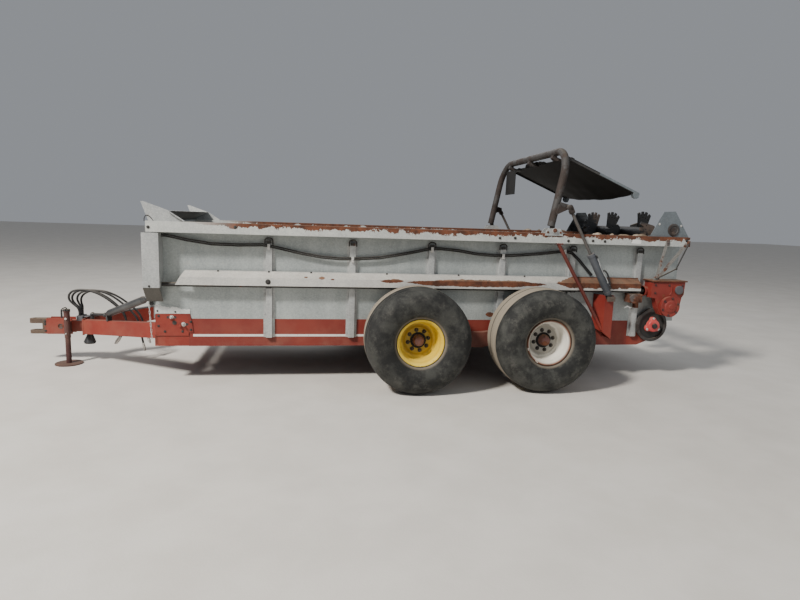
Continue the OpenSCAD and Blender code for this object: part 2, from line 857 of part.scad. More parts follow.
// Ears on the rails that hold the gate's pivot pins
module gate_brackets() {
    half = pivot_boss_l / 2;
    cheeks = [[arch_y - half - 15, 0], [arch_y + half + 5, 24]];
    color("silver")
        both_sides()
            union() {
                translate([gate_x - 98, arch_y - half - 15, rail_top]) cube([196, 2 * half + 30, 6]);
                for (cheek = cheeks)
                    side_plate([
                        [gate_x - 98, rail_top - cheek[1]], [gate_x - 92, rail_top + 14],
                        [gate_x - 66, pivot_z + 20], [gate_x + 60, pivot_z + 20], [gate_x + 88, rail_top + 14],
                        [gate_x + 98, rail_top - cheek[1]]
                    ], cheek[0], 10);
                disc_y([gate_x, pivot_z], arch_y - half - 15, arch_y + half + 24, pivot_pin_r);
                disc_y([gate_x, pivot_z], arch_y + half + 14, arch_y + half + 24, 22);
            }
}

bend_r = 280;
lug_y = cyl_y - 21;
// How far ahead of its pivot an arch leg stands
leg_shift = 28;

// Place along the rails of an arch leg's middle line at the height z
function leg_x(z) = gate_x - leg_shift + (z - pivot_z) * tan(arch_lean);

// Arch in its own plane, standing up from the pivots
module arch_tube() {
    leg = arch_h - bend_r;
    both_sides() {
        translate([0, arch_y, 44]) cylinder(h = leg - 44, r = arch_r);
        translate([0, arch_y - bend_r, leg])
            rotate([90, 0, 90]) rotate_extrude(angle = 90) translate([bend_r, 0]) circle(r = arch_r);
    }
    rod_between([0, bend_r - arch_y, arch_h], [0, arch_y - bend_r, arch_h], arch_r);
}

// Lug on the +Y leg that the cylinder's rod eye meets
module arch_lug() {
    low = pivot_z + 160;
    high = pivot_z + 290;
    side_plate([
        [leg_x(low), low], [rod_eye.x - 8, rod_eye.y - 24], [rod_eye.x + 22, rod_eye.y - 10],
        [rod_eye.x + 16, rod_eye.y + 22], [leg_x(high) + 10, high]
    ], lug_y - 14, 14);
    side_plate([
        [leg_x(low), low + 12], [leg_x(low) + 62, low + 34], [leg_x(high) + 40, high - 40],
        [leg_x(high), high - 22]
    ], arch_y + 20, lug_y - arch_y - 20);
}

module gate_arch() {
    half = pivot_boss_l / 2;
    knee = pivot_z + 100;
    color("dimgray")
        difference() {
            union() {
                translate([gate_x - leg_shift, 0, pivot_z]) rotate([0, arch_lean, 0]) arch_tube();
                both_sides() {
                    disc_y([gate_x, pivot_z], arch_y - half, arch_y + half, pivot_boss_r);
                    flat_between([gate_x, pivot_z], [leg_x(knee), knee], 40, arch_y - 20, 40);
                    arch_lug();
                }
                on_panel() for (y = hanger_ys) side_plate(HANGER, y - 28, 56);
            }
            disc_y([gate_x, pivot_z], -arch_y - 60, arch_y + 60, pivot_pin_r + fit);
        }
}

// Rubber sheet of the gate, on a frame whose origin is the arch's top tube and whose X runs down the sheet
panel_y = wall_in - 14;
panel_z = -40;
panel_start = 100;
hanger_ys = [-620, 50, 700];
HANGER = [[-20, -20], [20, -20], [34, panel_z], [128, panel_z], [24, -82], [-14, -72]];

module on_panel() {
    translate([leg_x(pivot_z) + arch_h * sin(arch_lean), 0, pivot_z + arch_h * cos(arch_lean)])
        rotate([0, gate_drop, 0]) children();
}

// Gate panel: the sheet, its edge bars, the sagging end flap, and the square flap at the far front corner
module gate_panel() {
    color([0.15, 0.14, 0.14])
        on_panel() {
            union() {
                translate([panel_start, -panel_y, panel_z]) cube([gate_len - panel_start, 2 * panel_y, 6]);
                translate([panel_start, -panel_y, panel_z + 6]) cube([40, 2 * panel_y, 8]);
                for (s = [-1, 1])
                    translate([panel_start - 30, s * (panel_y - 3) - 3, panel_z - 22])
                        cube([gate_len - panel_start + 30, 6, 28]);
                translate([gate_len - 6, 0, panel_z])
                    rotate([90, 0, 90])
                        linear_extrude(12)
                            polygon([
                                [-panel_y, 6], [-panel_y, -32], [-800, -32], [-400, -44], [-100, -52], [200, -46],
                                [500, -12], [panel_y, -10], [panel_y, 6]
                            ]);
                for (s = [-1, 1])
                    translate([gate_len - 36, s * (panel_y - 20) - 20, panel_z - 58]) cube([48, 40, 60]);
            }
            translate([24, 520, -90]) rotate([0, -gate_drop, 0]) {
                union() {
                    translate([0, 0, -306]) cube([8, 330, 306]);
                    translate([0, 0, -8]) cube([96, 330, 8]);
                    for (y = [20, 290]) translate([78, y, -1]) cube([18, 30, 34]);
                }
            }
        }
}

post_y = cyl_y - barrel_r - 8;
eye_half = 20;

// Folded posts on the sills that hold the cylinders' base pins, with their stays to the rails
module cylinder_posts() {
    top = cyl_base.y + 20;
    foot = 440;
    half = 76;
    color("firebrick")
        both_sides()
            union() {
                difference() {
                    translate([cyl_base.x, 0, foot])
                        linear_extrude(top - foot)
                            polygon([
                                [-half, wall_y], [8 - half, wall_y], [-17, post_y - 8], [half - 8, post_y - 8],
                                [half - 8, wall_y], [half, wall_y], [half, post_y], [-23, post_y], [-half, wall_y + 6]
                            ]);
                    translate([cyl_base.x - 178, wall_y - 10, foot + 215])
                        rotate([0, 37, 0]) translate([-60, 0, -400]) cube([400, 300, 400]);
                    translate([cyl_base.x - 238, wall_y - 1, floor_z]) cube([400, 1, 400]);
                }
                disc_y(cyl_base, post_y - 5, cyl_y + 42, pivot_pin_r);
                disc_y(cyl_base, post_y - 5, cyl_y - eye_half - 1, 24);
                side_plate([
                    cyl_base + [-44, -34], cyl_base + [-44, 16], cyl_base + [46, 16], cyl_base + [46, -34]
                ], cyl_y + eye_half + 6, 10);
                translate([cyl_base.x + 36, post_y - 1, cyl_base.y - 34]) cube([10, cyl_y + eye_half + 16 - post_y + 1, 50]);
                translate([gate_x + 42, rail_y - 36, rail_z - 14]) cube([70, 36, 14]);
                rod_between([gate_x + 70, rail_y - 20, rail_z - 12], [cyl_base.x - 26, post_y - 25, 565], 19);
            }
}

// Cylinder barrel with its base eye, drawn along Z from the base pin
module barrel_shape() {
    difference() {
        union() {
            translate([0, 0, 50]) cylinder(h = barrel_len - 50, r = barrel_r);
            translate([0, 0, barrel_len - 34]) cylinder(h = 34, r = barrel_r + 3);
            translate([0, 0, 50]) cylinder(h = 26, r = barrel_r + 2);
            translate([0, eye_half, 0]) rotate([90, 0, 0]) cylinder(h = 2 * eye_half, r = 28);
            translate([-20, -eye_half, 0]) cube([40, 2 * eye_half, 56]);
            translate([barrel_r - 4, -12, barrel_len - 70]) cube([24, 24, 24]);
            translate([barrel_r + 10, 0, 120]) cylinder(h = barrel_len - 170, r = 8);
            translate([barrel_r - 4, -12, 100]) cube([24, 24, 24]);
        }
        translate([0, 0, 90]) cylinder(h = barrel_len, r = rod_r + fit);
        translate([0, 30, 0]) rotate([90, 0, 0]) cylinder(h = 60, r = pivot_pin_r + fit);
    }
}

rod_start = 422;

// Rod with its eye and pin head, drawn along Z from the base pin
module rod_shape() {
    union() {
        translate([0, 0, rod_start]) cylinder(h = cyl_len - 20 - rod_start, r = rod_r);
        translate([0, eye_half, cyl_len]) rotate([90, 0, 0]) cylinder(h = 2 * eye_half, r = 24);
        translate([-18, -18, cyl_len - 50]) cube([36, 36, 40]);
        translate([0, 30, cyl_len]) rotate([90, 0, 0]) cylinder(h = 12, r = 17);
    }
}

module on_cylinder() {
    translate([cyl_base.x, cyl_y, cyl_base.y]) rotate([0, cyl_angle, 0]) children();
}

module barrel_left() {
    color("dimgray") mirror([0, 1, 0]) on_cylinder() barrel_shape();
}

module barrel_right() {
    color("dimgray") on_cylinder() barrel_shape();
}

module rod_left() {
    color("gray") mirror([0, 1, 0]) on_cylinder() rod_shape();
}

module rod_right() {
    color("gray") on_cylinder() rod_shape();
}

// Braces from the left rail down to the gearbox
module rear_struts() {
    foot = [rear(360), 1128];
    y = -rail_y - 6;
    color("silver")
        union() {
            translate([foot.x - 30, y, 1110]) cube([70, 6, 40]);
            flat_between(foot, [rear(265), rail_z + 60], 30, y, 6);
            flat_between(foot + [12, 0], [rear(35), rail_z + 30], 34, y, 6);
        }
}

// Tube of flat-sided rings, one ring at each point of the path
module swept_tube(path, r, sides) {
    n = len(path);
    dirs = [
        for (i = [0 : n - 1])
            let (v = path[min(i + 1, n - 1)] - path[max(i - 1, 0)])
            v / norm(v)
    ];
    start = cross(dirs[0], abs(dirs[0].z) < 0.8 ? [0, 0, 1] : [0, 1, 0]);
    ups = [
        for (i = 0, u = start; i < n; u = i + 1 < n ? u - (u * dirs[i + 1]) * dirs[i + 1] : u, i = i + 1)
            u / norm(u)
    ];
    points = [
        for (i = [0 : n - 1], k = [0 : sides - 1])
            let (a = 360 * (k + 0.5) / sides)
            path[i] + r * (cos(a) * ups[i] + sin(a) * cross(dirs[i], ups[i]))
    ];
    polyhedron(points, concat(
        [[for (k = [0 : sides - 1]) k]],
        [for (i = [0 : n - 2], k = [0 : sides - 1], half = [0, 1])
            let (a = i * sides + k, b = i * sides + (k + 1) % sides)
            half == 0 ? [a, a + sides, b + sides] : [a, b + sides, b]],
        [[for (k = [sides - 1 : -1 : 0]) (n - 1) * sides + k]]
    ));
}

clamp_top = 515;
clamp_half = 62;
hose_ys = [-45, -15, 15, 45];
pipe_r = 8;
line_gap = 17;
line_y = stake_y + pipe_r * cos(22.5) + seat;
line_zs = [1440, 1440 + line_gap];
line_start = 111;

// Point on top of the +Y tongue beam at x, the distance off across it, for the pipes laid there
function beam_top(x, off) =
    let (
        mid_y = beam_front_y - beam_w / 2 / cos(beam_angle) + (x - beam_front_x) * tan(beam_angle),
        top = beam_mid_front_z + (x - beam_front_x) / (beam_rear_x - beam_front_x) * beam_rise
            + beam_h / 2 / cos(atan2(beam_rise, norm(beam_run)))
    )
    [x, mid_y + off / cos(beam_angle), top + pipe_r + 1];

// Clamp of the hoses, the pipes from it to the block on the front wall, and those across the front
module feed_lines() {
    pipe_x = 10 - pipe_r - seat;
    color("gray") {
        union() {
            translate([-1000, -clamp_half, spine_top]) cube([60, 2 * clamp_half, clamp_top - spine_top]);
            for (i = [0 : 3]) {
                off = 18 * (i - 1.5);
                swept_tube([
                    [-955, hose_ys[i], 500], [-900, hose_ys[i] + 14, 500], beam_top(-820, off),
                    beam_top(-60, off), beam_top(-24, off) + [0, 4, 8], beam_top(-12, off) + [0, 8, 30],
                    beam_top(-12, off) + [0, 10, 130]
                ], pipe_r - 1, 8);
            }
            translate([-22, 560, 690]) cube([32, 200, 60]);
            for (k = [0, 1]) {
                swept_tube([
                    [line_start - 5 - seat, -line_y, line_zs[k]], [20, -line_y, line_zs[k]],
                    [pipe_x + 3, -line_y + 4, line_zs[k]], [pipe_x, -line_y + 22, line_zs[k]],
                    [pipe_x, line_y - 22, line_zs[k]], [pipe_x + 3, line_y - 4, line_zs[k]],
                    [20, line_y, line_zs[k]], [line_start - 4, line_y, line_zs[k]]
                ], pipe_r, 8);
                swept_tube([
                    [pipe_x, 620 + 40 * k, 745], [pipe_x, 620 + 40 * k, line_zs[k]]
                ], pipe_r - 1, 8);
            }
        }
        translate([line_start - 5, wall_y, 1425]) cube([5, 78, 50]);
    }
}

// Hoses clipped under the rails, from the front corners to the cylinders, as [x, z]
SIDE_ROUTE = [
    [line_start + seat, line_zs[0]], [150, line_zs[0]], [345, 1400], [570, 1368], [820, 1364], [1040, 1372],
    [1160, 1352], [1420, 1296], [1605, 1266], [1790, 1252], [1980, 1256], [2200, 1272], [2490, 1326],
    [2700, 1372], [2820, 1378], [3010, 1362], [3210, 1332], [3420, 1320], [3620, 1328], [3900, 1352],
    [4170, 1386], [4250, 1368], [4330, 1300], [4415, 1213], [4492, 1136]
];

module side_lines() {
    color([0.08, 0.08, 0.08])
        both_sides()
            for (k = [0, 1])
                swept_tube([
                    for (i = [0 : len(SIDE_ROUTE) - 1])
                        let (
                            v = SIDE_ROUTE[min(i + 1, len(SIDE_ROUTE) - 1)] - SIDE_ROUTE[max(i - 1, 0)],
                            off = k * line_gap / norm(v)
                        )
                        [SIDE_ROUTE[i].x - v.y * off, line_y, SIDE_ROUTE[i].y + v.x * off]
                ], pipe_r, 8);
}

// Chain that hangs from the lower edge of the shield's flap
module safety_chain() {
    color("lightgray")
        union()
            for (i = [0 : 11])
                translate([-22 + 1.5 * i, -wall_y - 35, 794 - 30 * i])
                    rotate([0, 0, i % 2 * 90]) cube([14, 7, 36], center = true);
}

// Place of the front end of the rails in the hose routes
route_zero = -2025;

// Hose routes: out of the clamp, round in a loop and down between the beams
HOSE_1 = [
    [-3000, -45, 515], [-3000, -45, 560], [-3015, -48, 605], [-3055, -52, 645], [-3090, -56, 690],
    [-3090, -60, 740], [-3055, -64, 782], [-2995, -66, 800], [-2925, -68, 800], [-2855, -70, 785],
    [-2785, -72, 757], [-2715, -74, 715], [-2650, -76, 665], [-2590, -78, 610], [-2540, -79, 545],
    [-2515, -80, 475], [-2520, -80, 400], [-2550, -80, 330], [-2590, -80, 265]
];
HOSE_2 = [
    [-3000, -15, 515], [-3000, -15, 560], [-3012, -17, 602], [-3045, -19, 640], [-3072, -20, 682],
    [-3070, -22, 728], [-3038, -23, 768], [-2980, -24, 790], [-2912, -25, 793], [-2843, -26, 780],
    [-2773, -27, 750], [-2705, -28, 708], [-2642, -29, 655], [-2585, -30, 595], [-2545, -30, 528],
    [-2530, -30, 455], [-2545, -30, 380], [-2580, -30, 312], [-2620, -30, 250]
];
HOSE_3 = [
    [-3000, 15, 515], [-3000, 15, 560], [-3005, 17, 602], [-3025, 19, 642], [-3040, 20, 685],
    [-3030, 22, 728], [-2995, 23, 762], [-2935, 24, 782], [-2865, 25, 785], [-2795, 26, 773],
    [-2725, 27, 745], [-2658, 28, 705], [-2595, 29, 655], [-2535, 30, 600], [-2480, 30, 540],
    [-2435, 30, 475], [-2415, 30, 400], [-2400, 30, 320], [-2385, 30, 240], [-2372, 30, 165]
];
HOSE_4 = [
    [-3000, 45, 515], [-3000, 45, 560], [-3000, 48, 605], [-3012, 52, 648], [-3012, 56, 692],
    [-2990, 60, 732], [-2945, 64, 762], [-2885, 66, 775], [-2818, 68, 775], [-2748, 70, 762],
    [-2680, 72, 735], [-2615, 74, 697], [-2553, 76, 650], [-2492, 78, 598], [-2437, 79, 538],
    [-2400, 80, 468], [-2380, 80, 392], [-2360, 80, 315], [-2335, 80, 240]
];

// Moves a hose's piece from the measure of its route to the frame
module along_route() {
    translate([frame_shift - route_zero, 0, 0]) children();
}

module hose(route) {
    color([0.08, 0.08, 0.08]) swept_tube(route, hose_r, 10);
}

// Quick couplers on the hoses' free ends
module hose_couplers() {
    color("silver")
        for (route = [HOSE_1, HOSE_2, HOSE_3, HOSE_4]) {
            tip = route[len(route) - 1];
            dir = (tip - route[len(route) - 2]) / norm(tip - route[len(route) - 2]);
            union() {
                rod_between(tip + 0.1 * dir, tip + 40 * dir, 15);
                rod_between(tip + 39 * dir, tip + 65 * dir, 12);
            }
        }
}

place() sills();
place() cross_members();
place() front_bolster();
place() shaft_plates();
place() tongue_beam_left();
place() tongue_beam_right();
place() hitch();
place() jack_sleeve();
place() jack_leg();
place() wall_left();
place() wall_right();
place() front_wall();
place() floor_plate();  // floor
place() top_rails();
place() stakes_left();
place() stakes_right();
place() front_splash_guard();
place() shaft_cover();
place() front_drive_shield();
place() front_gearcase();
place() side_shaft();
place() pto_shaft();
place() apron();
place() apron_shafts();
place() apron_gearbox();
place() main_gearbox();
place() lower_bearing();
place() beater_guards();
place() upper_beater();
place() lower_beater();
place() tandem_beams();
place() tyre(axle_front, -1);  // tyre_left_front
place() tyre(axle_rear, -1);  // tyre_left_rear
place() tyre(axle_front, 1);  // tyre_right_front
place() tyre(axle_rear, 1);  // tyre_right_rear
place() rim(axle_front, -1, "gold");  // rim_left_front
place() rim(axle_rear, -1, "antiquewhite");  // rim_left_rear
place() rim(axle_front, 1, "gold");  // rim_right_front
place() rim(axle_rear, 1, "antiquewhite");  // rim_right_rear
place() gate_brackets();
place() gate_arch();
place() gate_panel();
place() cylinder_posts();
place() barrel_left();
place() barrel_right();
place() rod_left();
place() rod_right();
place() rear_struts();
place() feed_lines();
place() side_lines();
place() safety_chain();
along_route() hose(HOSE_1);  // hose_1
along_route() hose(HOSE_2);  // hose_2
along_route() hose(HOSE_3);  // hose_3
along_route() hose(HOSE_4);  // hose_4
along_route() hose_couplers();
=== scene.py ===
"""Looks of a towed tandem-axle manure spreader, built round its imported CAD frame.

Everything is in metres in the frame of the CAD model: the hitch points to -X, the ground is z = 0.
Lengths along X are written from the front end of the top rails, as in the part's source, and moved by SHIFT.
"""

from __future__ import annotations

import logging
import math
from collections.abc import Callable
from dataclasses import dataclass, field
from enum import Enum

import bmesh
import bpy
import numpy as np
from mathutils import Matrix

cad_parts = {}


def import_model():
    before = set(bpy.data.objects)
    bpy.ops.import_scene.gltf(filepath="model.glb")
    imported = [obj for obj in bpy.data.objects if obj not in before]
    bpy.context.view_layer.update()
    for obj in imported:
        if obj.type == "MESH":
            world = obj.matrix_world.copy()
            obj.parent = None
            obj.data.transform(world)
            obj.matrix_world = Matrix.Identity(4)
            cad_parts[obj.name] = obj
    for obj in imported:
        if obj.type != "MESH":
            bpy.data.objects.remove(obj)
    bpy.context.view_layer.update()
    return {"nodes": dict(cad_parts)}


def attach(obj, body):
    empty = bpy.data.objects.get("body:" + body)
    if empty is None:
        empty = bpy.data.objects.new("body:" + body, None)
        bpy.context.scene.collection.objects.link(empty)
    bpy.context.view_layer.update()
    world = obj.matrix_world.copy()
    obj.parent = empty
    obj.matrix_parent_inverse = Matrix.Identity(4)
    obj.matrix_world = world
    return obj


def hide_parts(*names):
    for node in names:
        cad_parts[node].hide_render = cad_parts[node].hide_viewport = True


LOG = logging.getLogger("spreader")
SHIFT = -2.112
ROUTE_ZERO = -2.025
AXLE_HEIGHT = 0.518
FRONT_AXLE = 2.54
REAR_AXLE = 3.825
Colour = tuple[float, float, float]
Point = tuple[float, float, float]
Pair = tuple[float, float]
Array = np.ndarray
ALONG, ACROSS, UP = np.eye(3)


class Side(Enum):
    """The two sides of the machine, with the sign of their Y."""

    LEFT = -1
    RIGHT = 1

    @property
    def word(self) -> str:
        """Name of the side as the CAD nodes spell it."""
        return self.name.lower()

    @property
    def out(self) -> Array:
        """Direction away from the middle plane."""
        return ACROSS * self.value


# Shader maths


def calculation(operation: str, swapped: bool = False) -> Callable[..., "Value"]:
    """Makes a method of Value out of one operation of the Math node.

    Args:
        operation: the node's operation.
        swapped: the value comes second, as in 1 - value.

    Returns:
        The method.
    """

    def method(first: "Value", *other: object) -> "Value":
        """Adds the node to the value's shader.

        Args:
            first: the value.
            other: the other value or number, where there is one.

        Returns:
            The node's result.
        """
        inputs = dict(enumerate((*other, first) if swapped else (first, *other)))
        node = first.shader.node("ShaderNodeMath", inputs, operation=operation)
        return Value(first.shader, node.outputs[0])

    return method


class Value:
    """A socket of a shader that can be used in Python expressions.

    It knows +, -, * and abs; | is the larger and & the smaller of two; wave is the sine of radians.

    Args:
        shader: the shader whose tree holds the socket.
        socket: the output socket.
    """

    __add__, __radd__ = calculation("ADD"), calculation("ADD", True)
    __sub__, __rsub__ = calculation("SUBTRACT"), calculation("SUBTRACT", True)
    __mul__, __rmul__ = calculation("MULTIPLY"), calculation("MULTIPLY", True)
    __or__, __and__ = calculation("MAXIMUM"), calculation("MINIMUM")
    __abs__, root, wave = calculation("ABSOLUTE"), calculation("SQRT"), calculation("SINE")

    def __init__(self, shader: "Shader", socket: bpy.types.NodeSocket) -> None:
        """Keeps the shader and the socket."""
        self.shader = shader
        self.socket = socket

    def rise(self, low: float, high: float) -> "Value":
        """Smooth step that is 0 up to low and 1 from high on; low may be the larger for a fall.

        Args:
            low: where the step starts.
            high: where it ends.

        Returns:
            The step's value.
        """
        ends = (0.0, 1.0) if low < high else (1.0, 0.0)
        inputs = dict(enumerate((self, min(low, high), max(low, high), *ends)))
        node = self.shader.node("ShaderNodeMapRange", inputs, interpolation_type="SMOOTHSTEP")
        return Value(self.shader, node.outputs[0])

    def before(self, place: float, soft: float) -> "Value":
        """Mask that is 1 before a place and 0 past it, with a soft edge."""
        return self.rise(place + soft, place - soft)

    def between(self, low: float, high: float, soft: float) -> "Value":
        """Mask that is 1 from low to high with soft edges."""
        return self.rise(low - soft, low + soft) & self.before(high, soft)

    def patches(self, share: float, low: float, high: float, pull: float = 0.5) -> "Value":
        """Mask of the tops of a noise: its step from low to high is moved down by pull times the share covered."""
        return self.rise(low - pull * share, high - pull * share)


class Shader:
    """One material and the nodes behind its principled surface.

    Args:
        name: name of the material.
    """

    def __init__(self, name: str) -> None:
        """Makes the material with an empty tree, its surface and its place on the object.

        Args:
            name: name of the material.
        """
        self.material = bpy.data.materials.new(name)
        self.material.use_nodes = True
        self.tree = self.material.node_tree
        self.tree.nodes.clear()
        output = self.node("ShaderNodeOutputMaterial")
        self.surface = self.node("ShaderNodeBsdfPrincipled")
        self.tree.links.new(self.surface.outputs[0], output.inputs[0])
        self.place = Value(self, self.node("ShaderNodeTexCoord").outputs["Object"])
        self.x, self.y, self.z = self.parts(self.place)

    def node(self, kind: str, values: dict | None = None, **settings: object) -> bpy.types.Node:
        """Adds a node.

        Args:
            kind: the node's type.
            values: the number, colour or Value for each input, by index or name.
            settings: its own settings, set first.

        Returns:
            The node.
        """
        made = self.tree.nodes.new(kind)
        for key, setting in settings.items():
            setattr(made, key, setting)
        self.feed(made, values or {})
        return made

    def feed(self, node: bpy.types.Node, values: dict) -> None:
        """Links each Value to its input of a node, and sets each number or colour on it.

        Args:
            node: the node, or the surface.
            values: the Value, number or colour for each input.
        """
        for key, value in values.items():
            socket = node.inputs[key]
            if isinstance(value, Value):
                self.tree.links.new(value.socket, socket)
            else:
                socket.default_value = (*value, 1.0) if socket.type == "RGBA" else value

    def parts(self, vector: Value) -> list[Value]:
        """The three parts of a vector."""
        return [Value(self, socket) for socket in self.node("ShaderNodeSeparateXYZ", {0: vector}).outputs]

    def stretched(self, scale: Point) -> Value:
        """Place on the object, stretched along each axis."""
        node = self.node("ShaderNodeVectorMath", {0: self.place, 1: scale}, operation="MULTIPLY")
        return Value(self, node.outputs[0])

    def from_axle(self, axle: float) -> Value:
        """Distance from the axle of a wheel whose place along X is given in rail measure: root of dx² + dz²."""
        dx, dz = self.x - (axle + SHIFT), self.z - AXLE_HEIGHT
        return (dx * dx + dz * dz).root()

    def noise(self, scale: float, detail: float = 4.0, rough: float = 0.55, at: Value | None = None) -> Value:
        """Cloudy noise from 0 to 1 around 0.5.

        Args:
            scale: clouds per metre.
            detail: number of finer layers.
            rough: strength of the finer layers.
            at: where it is read; the place on the object if left out.

        Returns:
            The noise.
        """
        values = {"Vector": at or self.place, "Scale": scale, "Detail": detail, "Roughness": rough}
        return Value(self, self.node("ShaderNodeTexNoise", values).outputs[0])

    def cells(self, scale: float) -> Value:
        """Value from 0 to 1 that differs from cell to cell, as on spangled zinc, with scale cells per metre."""
        node = self.node("ShaderNodeTexVoronoi", {"Vector": self.place, "Scale": scale})
        return self.parts(Value(self, node.outputs["Color"]))[0]

    def normal(self, axis: int) -> Value:
        """One part of the surface's normal: 0, 1 or 2 for X, Y or Z."""
        return self.parts(Value(self, self.node("ShaderNodeNewGeometry").outputs["Normal"]))[axis]

    def facing_up(self) -> Value:
        """Mask of the faces that look upwards."""
        return self.normal(2).rise(0.45, 0.9)

    def facing_in(self) -> Value:
        """Mask of the faces that look towards the plane y = 0: the normal's Y times the place's is negative."""
        return (self.normal(1) * self.y).rise(-0.15, -0.45)

    def mix(self, share: object, first: object, second: object) -> Value:
        """Colour between two colours.

        Args:
            share: how much of the second colour, from 0 to 1.
            first: a colour or a Value.
            second: a colour or a Value.

        Returns:
            The mixed colour.
        """
        return Value(self, self.node("ShaderNodeMix", {0: share, 6: first, 7: second}, data_type="RGBA").outputs[2])

    def finish(self, colour: Value, rough: object, metal: object, height: Value, depth: float) -> bpy.types.Material:
        """Ties the results to the surface.

        Args:
            colour: base colour.
            rough: roughness.
            metal: share of bare metal.
            height: relief from 0 to 1.
            depth: depth of the relief in metres.

        Returns:
            The material.
        """
        bump = self.node("ShaderNodeBump", {"Strength": 1.0, "Distance": depth, "Height": height})
        self.feed(self.surface, {"Base Color": colour, "Roughness": rough, "Metallic": metal,
                                 "Normal": Value(self, bump.outputs[0])})
        return self.material


# Finishes

RUST_DARK: Colour = (0.06, 0.023, 0.013)
RUST_LIGHT: Colour = (0.185, 0.062, 0.028)
DUST: Colour = (0.36, 0.28, 0.19)
STAIN: Colour = (0.3, 0.22, 0.14)


def rusty(s: Shader) -> Value:
    """Colour of rust that changes from patch to patch."""
    tone = s.noise(14.0, 6.0, 0.7).rise(0.3, 0.72)
    return s.mix(tone, RUST_DARK, RUST_LIGHT)


@dataclass(frozen=True)
class Paint:
    """Old paint: faded in clouds, worn to rust in spots, scuffed and dusty.

    Args:
        name: name of the finish.
        fresh: colour where the paint is whole.
        faded: colour where the sun has bleached it.
        rust: share of the surface lost to rust, from 0 to 1.
        dust: strength of the dust on it, from 0 to 1.
        rough: roughness of the paint.
    """

    name: str
    fresh: Colour
    faded: Colour
    rust: float = 0.12
    dust: float = 0.35
    rough: float = 0.55

    def decorate(self, s: Shader, colour: Value) -> Value:
        """Adds what only one kind of piece carries; plain paint has nothing more."""
        return colour

    def worn(self, s: Shader) -> Value:
        """Mask of the places that are worn to rust."""
        return s.noise(7.0, 8.0, 0.72).patches(self.rust, 0.72, 0.78)

    def make(self) -> bpy.types.Material:
        """Builds the material.

        Returns:
            The material.
        """
        s = Shader(self.name)
        clouds = s.noise(2.3, 7.0, 0.62)
        scuffs = s.noise(38.0, 5.0, 0.7, s.stretched((0.3, 1.0, 1.0)))
        colour = s.mix(clouds.rise(0.35, 0.68), self.fresh, self.faded)
        colour = s.mix(scuffs.rise(0.55, 0.75) * 0.28, colour, self.faded)
        colour = self.decorate(s, colour)
        worn = self.worn(s)
        colour = s.mix(worn, colour, rusty(s))
        low = s.z.rise(0.75, 0.25) * s.noise(5.0, 6.0, 0.65).rise(0.35, 0.75)
        dusty = (low * 0.55 | s.facing_up() * 0.6) * self.dust
        colour = s.mix(dusty, colour, DUST)
        rough = self.rough + worn * 0.3 + dusty * 0.3 + clouds * 0.08
        height = s.noise(160.0, 3.0, 0.6) * 0.25 + s.noise(30.0, 5.0, 0.7) * worn
        return s.finish(colour, rough, 0.0, height, 0.0009)


@dataclass(frozen=True)
class SillPaint(Paint):
    """Red paint of the sills with the white line along them."""

    line: Pair = (0.462, 0.485)
    run: Pair = (0.37, 4.6)
    face: float = 0.8695
    white: Colour = (0.72, 0.7, 0.66)

    def decorate(self, s: Shader, colour: Value) -> Value:
        """Draws the white line between two heights on the outer face, with a scuffed edge.

        Args:
            s: the shader.
            colour: colour up to now.

        Returns:
            The colour with it.
        """
        wobble = s.noise(60.0, 3.0, 0.6) * 0.002
        line = (s.z + wobble).between(*self.line, 0.001)
        run = s.x.between(self.run[0] + SHIFT, self.run[1] + SHIFT, 0.002)
        outer = abs(s.y).rise(self.face, self.face + 0.0004)
        scuffed = s.noise(22.0, 6.0, 0.75).rise(0.66, 0.6)
        return s.mix(line * run * outer * scuffed, colour, self.white)


@dataclass(frozen=True)
class HitchPaint(Paint):
    """Red paint of the hitch, worn to brown rust on its lips."""

    lips: float = -1.315
    brown: tuple[Colour, Colour] = ((0.045, 0.026, 0.018), (0.13, 0.085, 0.06))

    def decorate(self, s: Shader, colour: Value) -> Value:
        """Wears the paint off ahead of a ragged line across the lips.

        Args:
            s: the shader.
            colour: colour up to now.

        Returns:
            The colour with it.
        """
        ragged = (s.noise(16.0, 7.0, 0.7) - 0.5) * 0.16
        worn = (s.x + ragged).before(self.lips + SHIFT, 0.006)
        brown = s.mix(s.noise(30.0, 5.0, 0.7), *self.brown)
        return s.mix(worn, colour, brown)


@dataclass(frozen=True)
class PostPaint(Paint):
    """Red paint of the cylinder posts; their stays, which lie ahead of the posts, are darkened to brick red as
    painted shade.
    """

    stay_end: float = 4.528
    boss: float = 1.033
    brick: Colour = (0.115, 0.024, 0.017)
    brown: Colour = (0.1, 0.075, 0.058)

    def decorate(self, s: Shader, colour: Value) -> Value:
        """Darkens what lies ahead of the posts as painted shade, and leaves the pins' bosses outside them brown.

        Args:
            s: the shader.
            colour: colour up to now.

        Returns:
            The colour with it.
        """
        # Painted shade: the stays ahead of the posts take the darker brick colour.
        ahead = s.x.before(self.stay_end + SHIFT, 0.003)
        colour = s.mix(ahead, colour, self.brick)
        return s.mix(abs(s.y).rise(self.boss, self.boss + 0.002), colour, self.brown)


